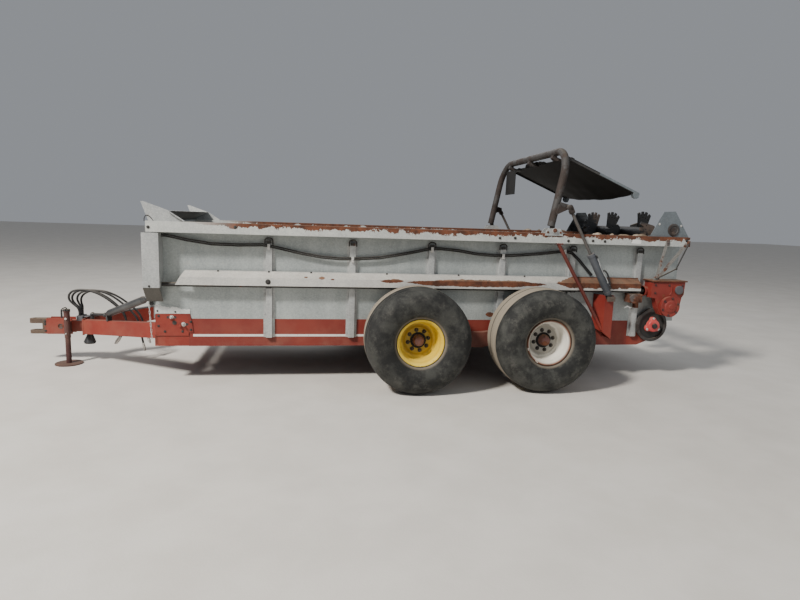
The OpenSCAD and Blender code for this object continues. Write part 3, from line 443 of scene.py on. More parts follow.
@dataclass(frozen=True)
class Zinc:
    """Weathered galvanized sheet: dull grey with faint spangles, stains and, in places, rust.

    Args:
        name: name of the finish.
        light: colour of the clean zinc.
        dark: colour of the weathered zinc.
        rust: share of scattered rust spots.
        rough: roughness.
        inside: share of the faces turned to the middle of the machine that is darkened.
        soil_and_shade: dark colour of those faces, and of the painted shade below shaded_below.
        shaded_below: height up to which the piece is darkened all round as painted shade.
    """

    name: str
    light: Colour = (0.54, 0.55, 0.535)
    dark: Colour = (0.33, 0.345, 0.35)
    rust: float = 0.03
    rough: float = 0.5
    inside: float = 0.0
    soil_and_shade: Colour = (0.035, 0.028, 0.022)
    shaded_below: float = 0.0

    def rusted(self, s: Shader) -> Value:
        """Mask of the rust: scattered spots."""
        return s.noise(6.0, 9.0, 0.72).patches(self.rust, 0.74, 0.79)

    def make(self) -> bpy.types.Material:
        """Builds the material.

        Returns:
            The material.
        """
        s = Shader(self.name)
        clouds = s.noise(1.6, 8.0, 0.66)
        fine = s.noise(55.0, 4.0, 0.7)
        streaks = s.noise(3.0, 5.0, 0.6, s.stretched((4.0, 4.0, 0.35)))
        tone = clouds * 0.6 + fine * 0.22 + s.cells(90.0) * 0.14 + streaks * 0.3
        colour = s.mix(tone.rise(0.42, 0.86), self.dark, self.light)
        rust = self.rusted(s)
        stain = s.noise(9.0, 6.0, 0.7).rise(0.55, 0.75) * 0.14
        colour = s.mix(stain, colour, STAIN)
        colour = s.mix(rust, colour, rusty(s))
        if self.inside > 0:
            soiled = s.facing_in() * (s.noise(4.0, 7.0, 0.7).rise(0.62, 0.38) * 0.35 + self.inside * 0.65)
            colour = s.mix(soiled, colour, self.soil_and_shade)
        # Painted shade: below shaded_below the piece is darkened all round.
        if self.shaded_below > 0:
            colour = s.mix(s.z.rise(self.shaded_below + 0.001, self.shaded_below - 0.002) * 0.85, colour, self.soil_and_shade)
        dusty = s.facing_up() * 0.45 | s.z.rise(0.7, 0.3) * 0.3
        colour = s.mix(dusty * s.noise(8.0, 5.0, 0.6), colour, DUST)
        rough = self.rough + rust * 0.35 + clouds * 0.12 + dusty * 0.15
        metal = 0.42 - rust * 0.42 - dusty * 0.2
        height = fine * 0.12 + s.noise(24.0, 6.0, 0.7) * rust
        return s.finish(colour, rough, metal, height, 0.0011)


@dataclass(frozen=True)
class RailZinc(Zinc):
    """Zinc of the top rails with ragged rust that eats down from the upper edge."""

    top: float = 1.58
    start: float = 0.3

    def rusted(self, s: Shader) -> Value:
        """Mask of the rust: what lies above a ragged line that wanders under the upper edge.

        Args:
            s: the shader.

        Returns:
            The mask.
        """
        ragged = s.noise(9.0, 9.0, 0.72)
        drop = (ragged - 0.33) * 0.2 + (s.noise(2.2, 3.0, 0.5) - 0.5) * 0.03
        rearward = s.x.rise(self.start + SHIFT - 0.1, self.start + SHIFT + 0.6)
        above = (s.z - self.top + drop * rearward).rise(-0.004, 0.001)
        return above * rearward | s.noise(11.0, 8.0, 0.7).rise(0.74, 0.78)


@dataclass(frozen=True)
class WallZinc(Zinc):
    """Zinc of the walls with one rusty scrape low on the outside, near the middle."""

    scrape: tuple[float, float, float, float] = (3.395, 0.699, 0.047, 0.025)

    def rusted(self, s: Shader) -> Value:
        """Mask of the rust: a ragged ellipse, and few spots elsewhere.

        Args:
            s: the shader.

        Returns:
            The mask.
        """
        x, z, half_x, half_z = self.scrape
        dx, dz = (s.x - (x + SHIFT)) * (1 / half_x), (s.z - z) * (1 / half_z)
        ragged = (s.noise(30.0, 7.0, 0.7) - 0.5) * 1.4
        return ((dx * dx + dz * dz).root() + ragged).rise(1.05, 0.95) | s.noise(6.0, 9.0, 0.72).rise(0.74, 0.79)


@dataclass(frozen=True)
class CoverZinc(Zinc):
    """Zinc of the drive shaft's cover, rusted through at its rear and in patches on its slope.

    Args:
        rear: where the rusted rear starts.
        bend: height of the bend between the cover's face and its slope.
        clean_below: height of the clean lower edge at the rear.
        bands: start, end, half height and level of each band of rust.
    """

    rear: float = 4.05
    bend: float = 1.058
    clean_below: float = 1.003
    bands: tuple[tuple[float, float, float, float], ...] = (
        (2.19, 2.44, 0.017, 1.052), (1.58, 1.65, 0.012, 1.07), (1.7, 1.74, 0.008, 1.06), (1.44, 1.48, 0.008, 1.075),
        (2.45, 3.98, 0.036, 1.04))

    def rusted(self, s: Shader) -> Value:
        """Mask of the rust: full at the rear but for the lower edge, pointed bands along the bend, and spots.

        A band swells as the root of a smooth step of 4 t (1 - t), with t the share of the way along it.

        Args:
            s: the shader.

        Returns:
            The mask.
        """
        edge = s.noise(9.0, 9.0, 0.7)
        ragged = (edge - 0.5) * 0.05
        point = abs(s.z - self.bend) * 3.4
        rear = (s.x - point + (edge - 0.5) * 0.22).rise(self.rear + SHIFT, self.rear + SHIFT + 0.02)
        rear = rear * (s.z + (edge - 0.5) * 0.09).rise(self.clean_below, self.clean_below + 0.007)
        bands = 0.0
        for start, end, height, level in self.bands:
            share = (s.x - (start + SHIFT)) * (1.0 / (end - start))
            swell = (share * (1 - share) * 4.0).rise(0.0, 1.0).root() * height
            bands = (swell - abs(s.z + ragged - level)).rise(0.0, 0.003) | bands
        spots = s.noise(6.0, 9.0, 0.72).rise(0.73, 0.78)
        return rear | bands | spots


@dataclass(frozen=True)
class Rust:
    """Bare steel gone to rust, pitted and scaly.

    Args:
        name: name of the finish.
        dark: colour of the old rust.
        light: colour of the fresh rust.
        steel: colour of what is left of the paint or scale.
        bare: share of that remainder, from 0 to 1.
        dust: strength of the dust on it, from 0 to 1.
    """

    name: str
    dark: Colour = RUST_DARK
    light: Colour = RUST_LIGHT
    steel: Colour = (0.1, 0.085, 0.08)
    bare: float = 0.3
    dust: float = 0.3

    def make(self) -> bpy.types.Material:
        """Builds the material.

        Returns:
            The material.
        """
        s = Shader(self.name)
        clouds = s.noise(5.0, 8.0, 0.7)
        grain = s.noise(70.0, 5.0, 0.75)
        colour = s.mix(s.noise(13.0, 7.0, 0.7).rise(0.3, 0.72), self.dark, self.light)
        left = clouds.patches(self.bare, 0.66, 0.74, 0.4)
        colour = s.mix(left, colour, self.steel)
        colour = s.mix(grain.rise(0.5, 0.8) * 0.35, colour, self.dark)
        dusty = s.facing_up() * self.dust
        colour = s.mix(dusty, colour, DUST)
        return s.finish(colour, 0.82 - left * 0.15, 0.0, grain * 0.6 + clouds * 0.5, 0.0013)


@dataclass(frozen=True)
class Black:
    """Black steel, rubber or plastic, scuffed grey and dusty.

    Args:
        name: name of the finish.
        dark: base colour.
        scuffed: colour of the scuffs.
        rough: roughness.
        grime: share of rust and caked dirt.
        grain: how many grains per metre the relief has.
    """

    name: str
    dark: Colour = (0.016, 0.016, 0.017)
    scuffed: Colour = (0.07, 0.068, 0.065)
    rough: float = 0.6
    grime: float = 0.1
    grain: float = 60.0

    def decorate(self, s: Shader, colour: Value) -> Value:
        """Adds what only one kind of piece carries; plain black has nothing more."""
        return colour

    def make(self) -> bpy.types.Material:
        """Builds the material.

        Returns:
            The material.
        """
        s = Shader(self.name)
        clouds = s.noise(4.0, 7.0, 0.66)
        fine = s.noise(self.grain, 4.0, 0.7)
        colour = s.mix(clouds.rise(0.42, 0.72) * 0.8, self.dark, self.scuffed)
        caked = s.noise(9.0, 8.0, 0.72).patches(self.grime, 0.74, 0.8)
        colour = self.decorate(s, s.mix(caked * 0.8, colour, rusty(s)))
        dusty = s.facing_up() * (0.18 + 0.5 * self.grime)
        colour = s.mix(dusty, colour, DUST)
        return s.finish(colour, self.rough + clouds * 0.15 + caked * 0.2, 0.0, fine * 0.4 + caked * 0.6, 0.0007)


@dataclass(frozen=True)
class BeaterBlack(Black):
    """Black of the beaters, with brown dried dung on the plates next to the guards."""

    ends: float = 0.72
    dung: Colour = (0.085, 0.06, 0.045)

    def decorate(self, s: Shader, colour: Value) -> Value:
        """Cakes what lies far from the middle plane.

        Args:
            s: the shader.
            colour: colour up to now.

        Returns:
            The colour with it.
        """
        ragged = s.noise(7.0, 6.0, 0.7).rise(0.36, 0.52)
        caked = abs(s.y).rise(self.ends, self.ends + 0.02) * ragged * 0.85
        return s.mix(caked, colour, self.dung)


@dataclass(frozen=True)
class TyreRubber:
    """Old tyre rubber: dusty tread, cloudy grey sidewalls, faint rings.

    Args:
        name: name of the finish.
        axle: place of the wheel's axle along X in rail measure.
        shoulder: distance from the middle plane up to which the tread is dusty.
        seam: distance from the middle plane of the dark line in that dust.
        tone: how light the sidewall is, where 1 is a grey, dusty tyre.
        tread: radius from which the tread is dusty.
        bead: radius up to which the bead is dusty.
    """

    name: str
    axle: float
    shoulder: float = 1.34
    seam: float = 1.175
    tone: float = 0.72
    tread: float = 0.488
    bead: float = 0.262

    def toned(self, red: float, green: float, blue: float) -> Colour:
        """A colour of the sidewall, times its tone."""
        return (red * self.tone, green * self.tone, blue * self.tone)

    def make(self) -> bpy.types.Material:
        """Builds the material.

        Returns:
            The material.
        """
        s = Shader(self.name)
        radius = s.from_axle(self.axle)
        clouds = s.noise(4.6, 9.0, 0.7)
        smears = s.noise(15.0, 8.0, 0.74)
        colour = s.mix(clouds.rise(0.4, 0.64), self.toned(0.014, 0.0145, 0.014), self.toned(0.072, 0.073, 0.065))
        colour = s.mix(smears.rise(0.5, 0.74) * 0.55, colour, self.toned(0.155, 0.155, 0.135))
        ring = radius.between(0.4, 0.455, 0.03) * smears.rise(0.42, 0.7) * 0.35
        colour = s.mix(ring, colour, self.toned(0.17, 0.16, 0.14))
        away = abs(s.y) + (smears - 0.5) * 0.02
        tread = radius.rise(self.tread, self.tread + 0.012) * away.before(self.shoulder, 0.006)
        tread = tread * (0.75 + smears * 0.4) * (1 - away.between(self.seam, self.seam + 0.016, 0.003) * 0.75)
        bead = radius.rise(self.bead, self.bead - 0.024) * 0.55
        colour = s.mix(tread | bead, colour, (0.3, 0.255, 0.195))
        lines = (radius * 260.0).wave() * radius.between(0.29, 0.36, 0.01)
        height = s.noise(120.0, 3.0, 0.6) * 0.3 + smears * 0.3 + lines * 0.12
        return s.finish(colour, 0.72 + smears * 0.2, 0.0, height, 0.0012)


@dataclass(frozen=True)
class RimPaint(Paint):
    """Paint of a rim that has gone rusty round its lip and inside its dish, with painted shade darkening the disc
    inside the bowl.

    Args:
        axle: place of the wheel's axle along X in rail measure.
        lip: share of rust on the lip.
        disc: colour of the disc inside the bowl, darkened as painted shade of the rim's lip.
        bowl: radius up to which the disc is darkened as painted shade.
        hub: radius of the dark ring round the hub.
    """

    axle: float = FRONT_AXLE
    lip: float = 0.25
    disc: Colour = (0.3, 0.2, 0.02)
    bowl: float = 0.17
    hub: float = 0.085

    def decorate(self, s: Shader, colour: Value) -> Value:
        """Darkens the disc inside the bowl as painted shade, more towards its edge.

        Args:
            s: the shader.
            colour: colour up to now.

        Returns:
            The colour with it.
        """
        radius = s.from_axle(self.axle)
        # Painted shade: the disc inside the bowl is darkened towards the disc colour.
        painted_shade = (radius + (s.noise(9.0, 6.0, 0.7) - 0.5) * 0.05).rise(self.bowl, self.bowl - 0.02)
        return s.mix(painted_shade * 0.8, colour, self.disc)

    def worn(self, s: Shader) -> Value:
        """Mask of the rust: streaks on the lip, a dark ring round the hub and a few spots.

        Args:
            s: the shader.

        Returns:
            The mask.
        """
        radius = s.from_axle(self.axle)
        streaks = s.noise(16.0, 8.0, 0.75)
        lip = radius.rise(0.196, 0.222) * streaks.patches(self.lip, 0.66, 0.72, 0.4)
        hub = (radius + streaks * 0.02).rise(self.hub, self.hub - 0.007)
        return lip | hub | s.noise(11.0, 8.0, 0.72).rise(0.7, 0.76)


FINISHES: dict[str, object] = {
    "red": Paint("red paint", (0.195, 0.016, 0.0095), (0.255, 0.033, 0.018), rust=0.1),
    "sill": SillPaint("sill paint", (0.165, 0.015, 0.01), (0.215, 0.03, 0.018), rust=0.1),
    "hitch": HitchPaint("hitch paint", (0.18, 0.016, 0.01), (0.24, 0.034, 0.02), rust=0.1),
    "cast_red": Paint("cast red paint", (0.18, 0.016, 0.011), (0.245, 0.034, 0.023), rust=0.26, dust=0.4),
    "pink": Paint("faded hub paint", (0.52, 0.045, 0.048), (0.66, 0.13, 0.11), rust=0.04, dust=0.08, rough=0.32),
    "dark_red": Paint("dark red paint", (0.042, 0.013, 0.013), (0.08, 0.027, 0.024), rust=0.24, dust=0.3),
    "cap": Paint("hub cap paint", (0.115, 0.034, 0.03), (0.165, 0.075, 0.062), rust=0.45),
    # Painted shade: the tandem beams between the wheels get a darkened brick red.
    "brick": Paint("shaded brick paint", (0.105, 0.022, 0.016), (0.16, 0.045, 0.032), rust=0.3),
    "post": PostPaint("post paint", (0.185, 0.016, 0.01), (0.24, 0.033, 0.019), rust=0.14),
    "zinc": Zinc("weathered zinc"),
    # Painted shade: the trunk's lower flap is darkened below 0.9595 m.
    "trunk": Zinc("trunk zinc", soil_and_shade=(0.05, 0.043, 0.034), shaded_below=0.9595),
    "clean_zinc": Zinc("clean zinc", light=(0.78, 0.78, 0.75), dark=(0.56, 0.57, 0.56), rust=0.0),
    # The guards' faces turned to the middle are made almost black.
    "guard": Zinc("guard zinc", light=(0.215, 0.245, 0.26), dark=(0.135, 0.155, 0.17), inside=1.0,
                  soil_and_shade=(0.014, 0.013, 0.013)),
    "wall": WallZinc("wall zinc", light=(0.48, 0.515, 0.5), dark=(0.305, 0.335, 0.335), inside=0.75),
    "strut": Zinc("strut zinc", light=(0.34, 0.325, 0.3), dark=(0.19, 0.18, 0.165), rust=0.4),
    "rail": RailZinc("rail zinc", light=(0.66, 0.675, 0.635), dark=(0.47, 0.485, 0.47)),
    "cover": CoverZinc("cover zinc", light=(0.7, 0.69, 0.645), dark=(0.5, 0.5, 0.48)),
    "rust": Rust("rusted steel"),
    "caked": Rust("caked dung", (0.1, 0.065, 0.042), (0.26, 0.19, 0.13), (0.42, 0.36, 0.29), 0.4),
    "scale": Rust("rusty brown scale", (0.024, 0.017, 0.014), (0.044, 0.031, 0.026), (0.048, 0.044, 0.042), 0.5, 0.1),
    "dark": Black("dark greasy steel", (0.022, 0.021, 0.02), (0.07, 0.062, 0.055), grime=0.2),
    "black": Black("worn black paint", grime=0.16),
    "beater": BeaterBlack("beater black", (0.008, 0.008, 0.009), (0.03, 0.029, 0.029), rough=0.5, grime=0.06),
    "rubber": Black("sheet rubber", (0.006, 0.006, 0.006), (0.016, 0.014, 0.013), rough=0.7, grime=0.02, grain=140.0),
    "hose": Black("hose rubber", (0.01, 0.01, 0.011), (0.038, 0.038, 0.038), rough=0.42, grime=0.0, grain=200.0),
    "plastic": Black("grey plastic", (0.085, 0.082, 0.09), (0.15, 0.145, 0.15), rough=0.4, grime=0.0),
    "shield": Black("shaft shield plastic", (0.028, 0.029, 0.031), (0.075, 0.076, 0.078), rough=0.26, grime=0.0),
    "grey": Paint("dark grey paint", (0.05, 0.055, 0.064), (0.095, 0.102, 0.115), rust=0.12, dust=0.3, rough=0.42),
    "rod": Rust("rod steel", (0.04, 0.03, 0.025), (0.095, 0.08, 0.07), (0.085, 0.078, 0.072), 0.55),
    "bright": Zinc("plated steel", light=(0.7, 0.69, 0.66), dark=(0.44, 0.43, 0.41), rust=0.12, rough=0.3),
    "blank": Paint("blank white patch", (0.82, 0.82, 0.8), (0.74, 0.74, 0.71), rust=0.0, dust=0.05, rough=0.35),
    # The disc colours of both rims are painted shade.
    "yellow": RimPaint("yellow rim paint", (0.7, 0.47, 0.022), (0.8, 0.6, 0.085), dust=0.08),
    "white": RimPaint("white rim paint", (0.85, 0.82, 0.74), (0.66, 0.63, 0.55), dust=0.12, axle=REAR_AXLE, lip=0.75,
                      disc=(0.25, 0.24, 0.22)),
    "tyre_front": TyreRubber("front tyre rubber", FRONT_AXLE, 1.25, 1.15, 0.58),
    "tyre_rear": TyreRubber("rear tyre rubber", REAR_AXLE),
}




# Surfaces


def unit(v: Array) -> Array:
    """Vectors divided by their lengths along the last axis."""
    return v / np.linalg.norm(v, axis=-1, keepdims=True)


def at(x: float, y: float, z: float) -> Array:
    """Point given in rail measure, moved into the frame."""
    return np.array([x + SHIFT, y, z])


def spots(pairs: object, y: float) -> Array:
    """Points at y from the middle plane, from pairs of rail measure x and z."""
    pairs = np.asarray(pairs, float)
    return np.column_stack([pairs[:, 0] + SHIFT, np.full(len(pairs), y), pairs[:, 1]])


def circle(count: int, start: float = 0.0) -> Array:
    """Angles in radians at even steps round a full turn."""
    return np.linspace(0.0, 2 * np.pi, count, endpoint=False) + start


def around(centre: Array, radius: object, turn: Array) -> Array:
    """Points round a centre, in its plane across Y: centre + radius · (cos t, 0, sin t)."""
    return centre + np.column_stack([radius * np.cos(turn), np.zeros(len(turn)), radius * np.sin(turn)])


def smooth_line(points: Array, count: int) -> Array:
    """Smooth curve through points, at even steps of the point number.

    Each stretch is the cubic whose slope at a point is half the step between that point's neighbours.

    Args:
        points: (n, k) points.
        count: number of points wanted.

    Returns:
        (count, k) points on the curve.
    """
    slopes = np.gradient(points, axis=0)
    t = np.linspace(0.0, len(points) - 1.0, count)
    i = np.minimum(t.astype(int), len(points) - 2)
    u = (t - i)[:, None]
    a, b = points[i], points[i + 1]
    low, high = slopes[i], slopes[i + 1]
    return ((2 * u**3 - 3 * u**2 + 1) * a + (u**3 - 2 * u**2 + u) * low
            + (3 * u**2 - 2 * u**3) * b + (u**3 - u**2) * high)


def tube_net(path: Array, radius: object, sides: int, across: Array = ACROSS) -> Array:
    """Rings of a tube: each point of the path plus radius times (cos a · side + sin a · top).

    The side is the given direction made square to the path, and the top is square to both.

    Args:
        path: (n, 3) centreline.
        radius: one radius, or one for each point.
        sides: points in a ring.
        across: direction that is never along the path.

    Returns:
        (n, sides, 3) net.
    """
    along = unit(np.gradient(path, axis=0))
    side = unit(across - (along @ across)[:, None] * along)
    top = np.cross(along, side)
    a = circle(sides)[None, :, None]
    r = np.broadcast_to(np.asarray(radius, float), (len(path),))[:, None, None]
    return path[:, None] + r * (np.cos(a) * side[:, None] + np.sin(a) * top[:, None])


def spun_net(profile: Array, centre: Array, axis: Array, steps: int) -> Array:
    """Surface of revolution: centre + axis · height + radius · (cos a · e + sin a · f).

    Args:
        profile: (n, 2) pairs of height along the axis and radius.
        centre: point on the axis at height 0.
        axis: direction of the axis.
        steps: points round the axis.

    Returns:
        (n, steps, 3) net.
    """
    axis = unit(axis)
    helper = UP if abs(axis[2]) < 0.9 else ACROSS
    e = unit(np.cross(axis, helper))
    f = np.cross(axis, e)
    a = circle(steps)[None, :, None]
    height, radius = profile[:, :1, None], profile[:, 1:, None]
    return centre + height * axis + radius * (np.cos(a) * e + np.sin(a) * f)


class Skin:
    """Points and faces of one piece, gathered as whole arrays."""

    def __init__(self) -> None:
        """Starts empty."""
        self.points: list[Array] = []
        self.faces: list[list[int]] = []
        self.count = 0

    def add(self, points: Array, *faces: Array) -> "Skin":
        """Adds points with faces that count from the first of them.

        Args:
            points: (..., 3) points.
            faces: arrays of one face a row, of equal corners in each array.

        Returns:
            This skin.
        """
        self.points.append(np.asarray(points, float).reshape(-1, 3))
        for rows in faces:
            self.faces += (rows + self.count).tolist()
        self.count += len(self.points[-1])
        return self

    def net(self, net: Array, ring: bool = True, loop: bool = False) -> "Skin":
        """Adds a net of quads; on a ring that is no loop, a face closes the first and the last row.

        Args:
            net: (rows, columns, 3) points.
            ring: the last column joins the first.
            loop: the last row joins the first.

        Returns:
            This skin.
        """
        rows, cols = net.shape[:2]
        i = np.arange(rows if loop else rows - 1)[:, None]
        j = np.arange(cols if ring else cols - 1)[None, :]
        i2, j2 = (i + 1) % rows, (j + 1) % cols
        quads = np.stack([i * cols + j, i * cols + j2, i2 * cols + j2, i2 * cols + j], -1).reshape(-1, 4)
        first = np.arange(cols)[None]
        ends = [first[:, ::-1], first + (rows - 1) * cols] if ring and not loop else []
        return self.add(net, quads, *ends)

    def tube(self, path: Array, radius: object, sides: int, across: Array = ACROSS) -> "Skin":
        """Adds a closed tube along a path."""
        return self.net(tube_net(path, radius, sides, across))

    def spun(self, profile: list, centre: Array, axis: Array, steps: int, loop: bool = False) -> "Skin":
        """Adds a surface of revolution from pairs of height and radius."""
        return self.net(spun_net(np.asarray(profile, float), centre, axis, steps), loop=loop)

    def plate(self, outline: object, y0: float, y1: float) -> "Skin":
        """Adds a plate whose outline, pairs of rail measure x and z, runs from y0 to y1."""
        return self.net(np.stack([spots(outline, y) for y in (y0, y1)]))

    def boxes(self, centres: Array, size: Point, turn: Array = np.eye(3)) -> "Skin":
        """Adds boxes at once: each corner is the centre plus the turned half size.

        Args:
            centres: (n, 3) middles, or one.
            size: whole size along the box's own axes.
            turn: (3, 3) rotation matrix, columns being the box's own axes.

        Returns:
            This skin.
        """
        centres = np.reshape(centres, (-1, 1, 3))
        signs = np.array([[x, y, z] for x in (-1, 1) for y in (-1, 1) for z in (-1, 1)], float)
        corners = signs * np.asarray(size) / 2 @ turn.T
        faces = np.array([[0, 1, 3, 2], [4, 6, 7, 5], [0, 4, 5, 1], [2, 3, 7, 6], [0, 2, 6, 4], [1, 5, 7, 3]])
        every = (faces[None] + 8 * np.arange(len(centres))[:, None, None]).reshape(-1, 4)
        return self.add(centres + corners, every)

    def bolts(self, centres: Array, axis: Array, radius: float, height: float, sides: int = 6) -> "Skin":
        """Adds bolt heads on washers: rings of a stepped profile round each centre.

        Args:
            centres: (n, 3) feet of the heads.
            axis: direction in which they stand out.
            radius: radius of a head over its corners.
            height: height of a head.
            sides: corners of a head.

        Returns:
            This skin.
        """
        for centre in np.asarray(centres, float).reshape(-1, 3):
            washer = [(-0.001, radius * 1.35), (0.0025, radius * 1.35), (0.0028, radius)]
            head = [(0.0025, radius), (height * 0.85, radius), (height, radius * 0.8)]
            self.spun(washer, centre, axis, 16)
            self.spun(head, centre, axis, sides)
        return self

    def piece(self, name: str, sharp: float = 35.0) -> bpy.types.Object:
        """Turns the skin into an object at the origin, smooth but for its sharp edges.

        Args:
            name: name of the object.
            sharp: angle in degrees from which an edge stays sharp.

        Returns:
            The object.
        """
        mesh = bpy.data.meshes.new(name)
        mesh.from_pydata(np.concatenate(self.points).tolist(), [], self.faces)
        work = bmesh.new()
        work.from_mesh(mesh)
        bmesh.ops.remove_doubles(work, verts=work.verts, dist=1e-6)
        bmesh.ops.recalc_face_normals(work, faces=work.faces)
        work.to_mesh(mesh)
        work.free()
        mesh.shade_smooth()
        mesh.set_sharp_from_angle(angle=math.radians(sharp))
        made = bpy.data.objects.new(name, mesh)
        bpy.context.scene.collection.objects.link(made)
        return made


class Shop:
    """Sets finished pieces on the machine, makes each finish once and keeps the count of the pieces."""

    def __init__(self) -> None:
        """Starts with nothing made."""
        self.made: dict[str, bpy.types.Material] = {}
        self.count = 0

    def coat(self, mesh: bpy.types.Mesh, finish: str) -> None:
        """Gives a mesh one of FINISHES, which is made on first use.

        Args:
            mesh: the mesh.
            finish: name of the finish.
        """
        if finish not in self.made:
            self.made[finish] = FINISHES[finish].make()
        mesh.materials.clear()
        mesh.materials.append(self.made[finish])

    def fit(self, skin: Skin, name: str, finish: str, body: str = "chassis", replaced: tuple[str, ...] = (),
            slot: str = "", bevel: float = 0.0, sharp: float = 35.0) -> bpy.types.Object:
        """Makes a piece of a skin and fastens it to its body.

        Args:
            skin: the piece's points and faces.
            name: its name.
            finish: name of its finish.
            body: the body it moves with.
            replaced: CAD nodes that it stands for.
            slot: not used.
            bevel: width of the rounded edges, 0 for none.
            sharp: angle from which an edge stays sharp.

        Returns:
            The object.
        """
        made = skin.piece(name, sharp)
        self.coat(made.data, finish)
        if bevel > 0:
            edges = made.modifiers.new("edges", "BEVEL")
            edges.width = bevel
            edges.segments = 2
            edges.limit_method = "ANGLE"
            edges.angle_limit = math.radians(40)
            edges.harden_normals = False
        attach(made, body)
        if replaced:
            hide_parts(*replaced)
        self.count += 1
        LOG.info("piece %s on %s", name, body)
        return made


# Studio


@dataclass
class Studio:
    """Camera of the photograph, soft lights and a pale floor."""

    place: Point = (-0.612, -6.466, 1.673)
    yaw: float = 0.163
    pitch: float = 0.145
    roll: float = -0.034
    focal_px: float = 554.13
    width_px: int = 800
    extent: float = 60.0
    lamps: tuple[tuple[str, Point, Point, float, float, Colour], ...] = (
        ("key", (-8.6, -7.4, 11.0), (0.0, 0.0, 0.8), 1.8, 3300.0, (1.0, 0.965, 0.91)),
        ("fill", (8.0, -7.0, 5.0), (0.5, 0.0, 0.8), 6.0, 90.0, (0.92, 0.96, 1.0)),
        ("rear", (2.0, 9.0, 7.0), (0.0, 0.0, 0.8), 6.0, 300.0, (0.95, 0.97, 1.0)))
    sky: tuple[float, ...] = (0.84, 0.88, 0.95, 1.0)
    sky_strength: float = 0.33

    def set_up(self, name: str, data: bpy.types.ID, axes: tuple[Array, ...], place: Point) -> bpy.types.Object:
        """Puts a camera or a lamp in the scene.

        Args:
            name: name of the object.
            data: the camera or the lamp.
            axes: its right, its up and its back, which is opposite to where it looks.
            place: where it stands.

        Returns:
            The object.
        """
        made = bpy.data.objects.new(name, data)
        matrix = np.eye(4)
        matrix[:3] = np.column_stack([*axes, place])
        made.matrix_world = Matrix(matrix.tolist())
        bpy.context.scene.collection.objects.link(made)
        return made

    def camera(self) -> None:
        """Sets the camera from its measured turn: forward, then level right and down turned by the roll."""
        forward = np.array([
            math.sin(self.yaw) * math.cos(self.pitch),
            math.cos(self.yaw) * math.cos(self.pitch),
            -math.sin(self.pitch),
        ])
        right = np.array([math.cos(self.yaw), -math.sin(self.yaw), 0.0])
        down = np.cross(forward, right)
        c, s = math.cos(self.roll), math.sin(self.roll)
        data = bpy.data.cameras.new("camera")
        data.sensor_fit = "HORIZONTAL"
        data.sensor_width = 36.0
        data.lens = self.focal_px / self.width_px * data.sensor_width
        data.clip_end = 200.0
        axes = (c * right + s * down, s * right - c * down, -forward)
        bpy.context.scene.camera = self.set_up("camera", data, axes, self.place)

    def floor(self) -> None:
        """Lays the pale floor with a faint sandy grain."""
        far = self.extent
        skin = Skin().net(np.array([[[-far, -far, 0], [far, -far, 0]], [[-far, far, 0], [far, far, 0]]]), ring=False)
        made = skin.piece("ground")
        shader = Shader("pale floor")
        grain = shader.noise(2.0, 8.0, 0.6)
        colour = shader.mix(grain.rise(0.3, 0.7), (0.6, 0.57, 0.52), (0.66, 0.63, 0.58))
        made.data.materials.append(shader.finish(colour, 0.9, 0.0, shader.noise(60.0, 3.0, 0.6), 0.001))

    def lamp(self, name: str, place: Point, target: Point, size: float, power: float, tint: Colour) -> None:
        """Hangs one square soft light that looks at a target.

        Args:
            name: name of the lamp.
            place: where it hangs.
            target: what it looks at.
            size: length of its sides.
            power: its power in watts.
            tint: its colour.
        """
        data = bpy.data.lights.new(name, "AREA")
        data.size = size
        data.energy = power
        data.color = tint
        back = unit(np.array(place) - np.array(target))
        right = unit(np.cross(UP, back))
        self.set_up(name, data, (right, np.cross(back, right), back), place)

    def light(self) -> None:
        """Sets the key light left of the camera, a fill at the right and behind, and a pale surround."""
        for lamp in self.lamps:
            self.lamp(*lamp)
        world = bpy.data.worlds.new("surround")
        world.use_nodes = True
        back = world.node_tree.nodes["Background"]
        back.inputs[0].default_value = self.sky
        back.inputs[1].default_value = self.sky_strength
        bpy.context.scene.world = world


# Hoses

HOSE_ROUTES: dict[str, list[tuple[int, int, int]]] = {
    "hose_1": [
        (-3000, -45, 515), (-3000, -45, 560), (-3015, -48, 605), (-3055, -52, 645), (-3090, -56, 690),
        (-3090, -60, 740), (-3055, -64, 782), (-2995, -66, 800), (-2925, -68, 800), (-2855, -70, 785),
        (-2785, -72, 757), (-2715, -74, 715), (-2650, -76, 665), (-2590, -78, 610), (-2540, -79, 545),
        (-2515, -80, 475), (-2520, -80, 400), (-2550, -80, 330), (-2590, -80, 265),
    ],
    "hose_2": [
        (-3000, -15, 515), (-3000, -15, 560), (-3012, -17, 602), (-3045, -19, 640), (-3072, -20, 682),
        (-3070, -22, 728), (-3038, -23, 768), (-2980, -24, 790), (-2912, -25, 793), (-2843, -26, 780),
        (-2773, -27, 750), (-2705, -28, 708), (-2642, -29, 655), (-2585, -30, 595), (-2545, -30, 528),
        (-2530, -30, 455), (-2545, -30, 380), (-2580, -30, 312), (-2620, -30, 250),
    ],
    "hose_3": [
        (-3000, 15, 515), (-3000, 15, 560), (-3005, 17, 602), (-3025, 19, 642), (-3040, 20, 685), (-3030, 22, 728),
        (-2995, 23, 762), (-2935, 24, 782), (-2865, 25, 785), (-2795, 26, 773), (-2725, 27, 745), (-2658, 28, 705),
        (-2595, 29, 655), (-2535, 30, 600), (-2480, 30, 540), (-2435, 30, 475), (-2415, 30, 400), (-2400, 30, 320),
        (-2385, 30, 240), (-2372, 30, 165),
    ],
    "hose_4": [
        (-3000, 45, 515), (-3000, 45, 560), (-3000, 48, 605), (-3012, 52, 648), (-3012, 56, 692), (-2990, 60, 732),
        (-2945, 64, 762), (-2885, 66, 775), (-2818, 68, 775), (-2748, 70, 762), (-2680, 72, 735), (-2615, 74, 697),
        (-2553, 76, 650), (-2492, 78, 598), (-2437, 79, 538), (-2400, 80, 468), (-2380, 80, 392), (-2360, 80, 315),
        (-2335, 80, 240),
    ],
}


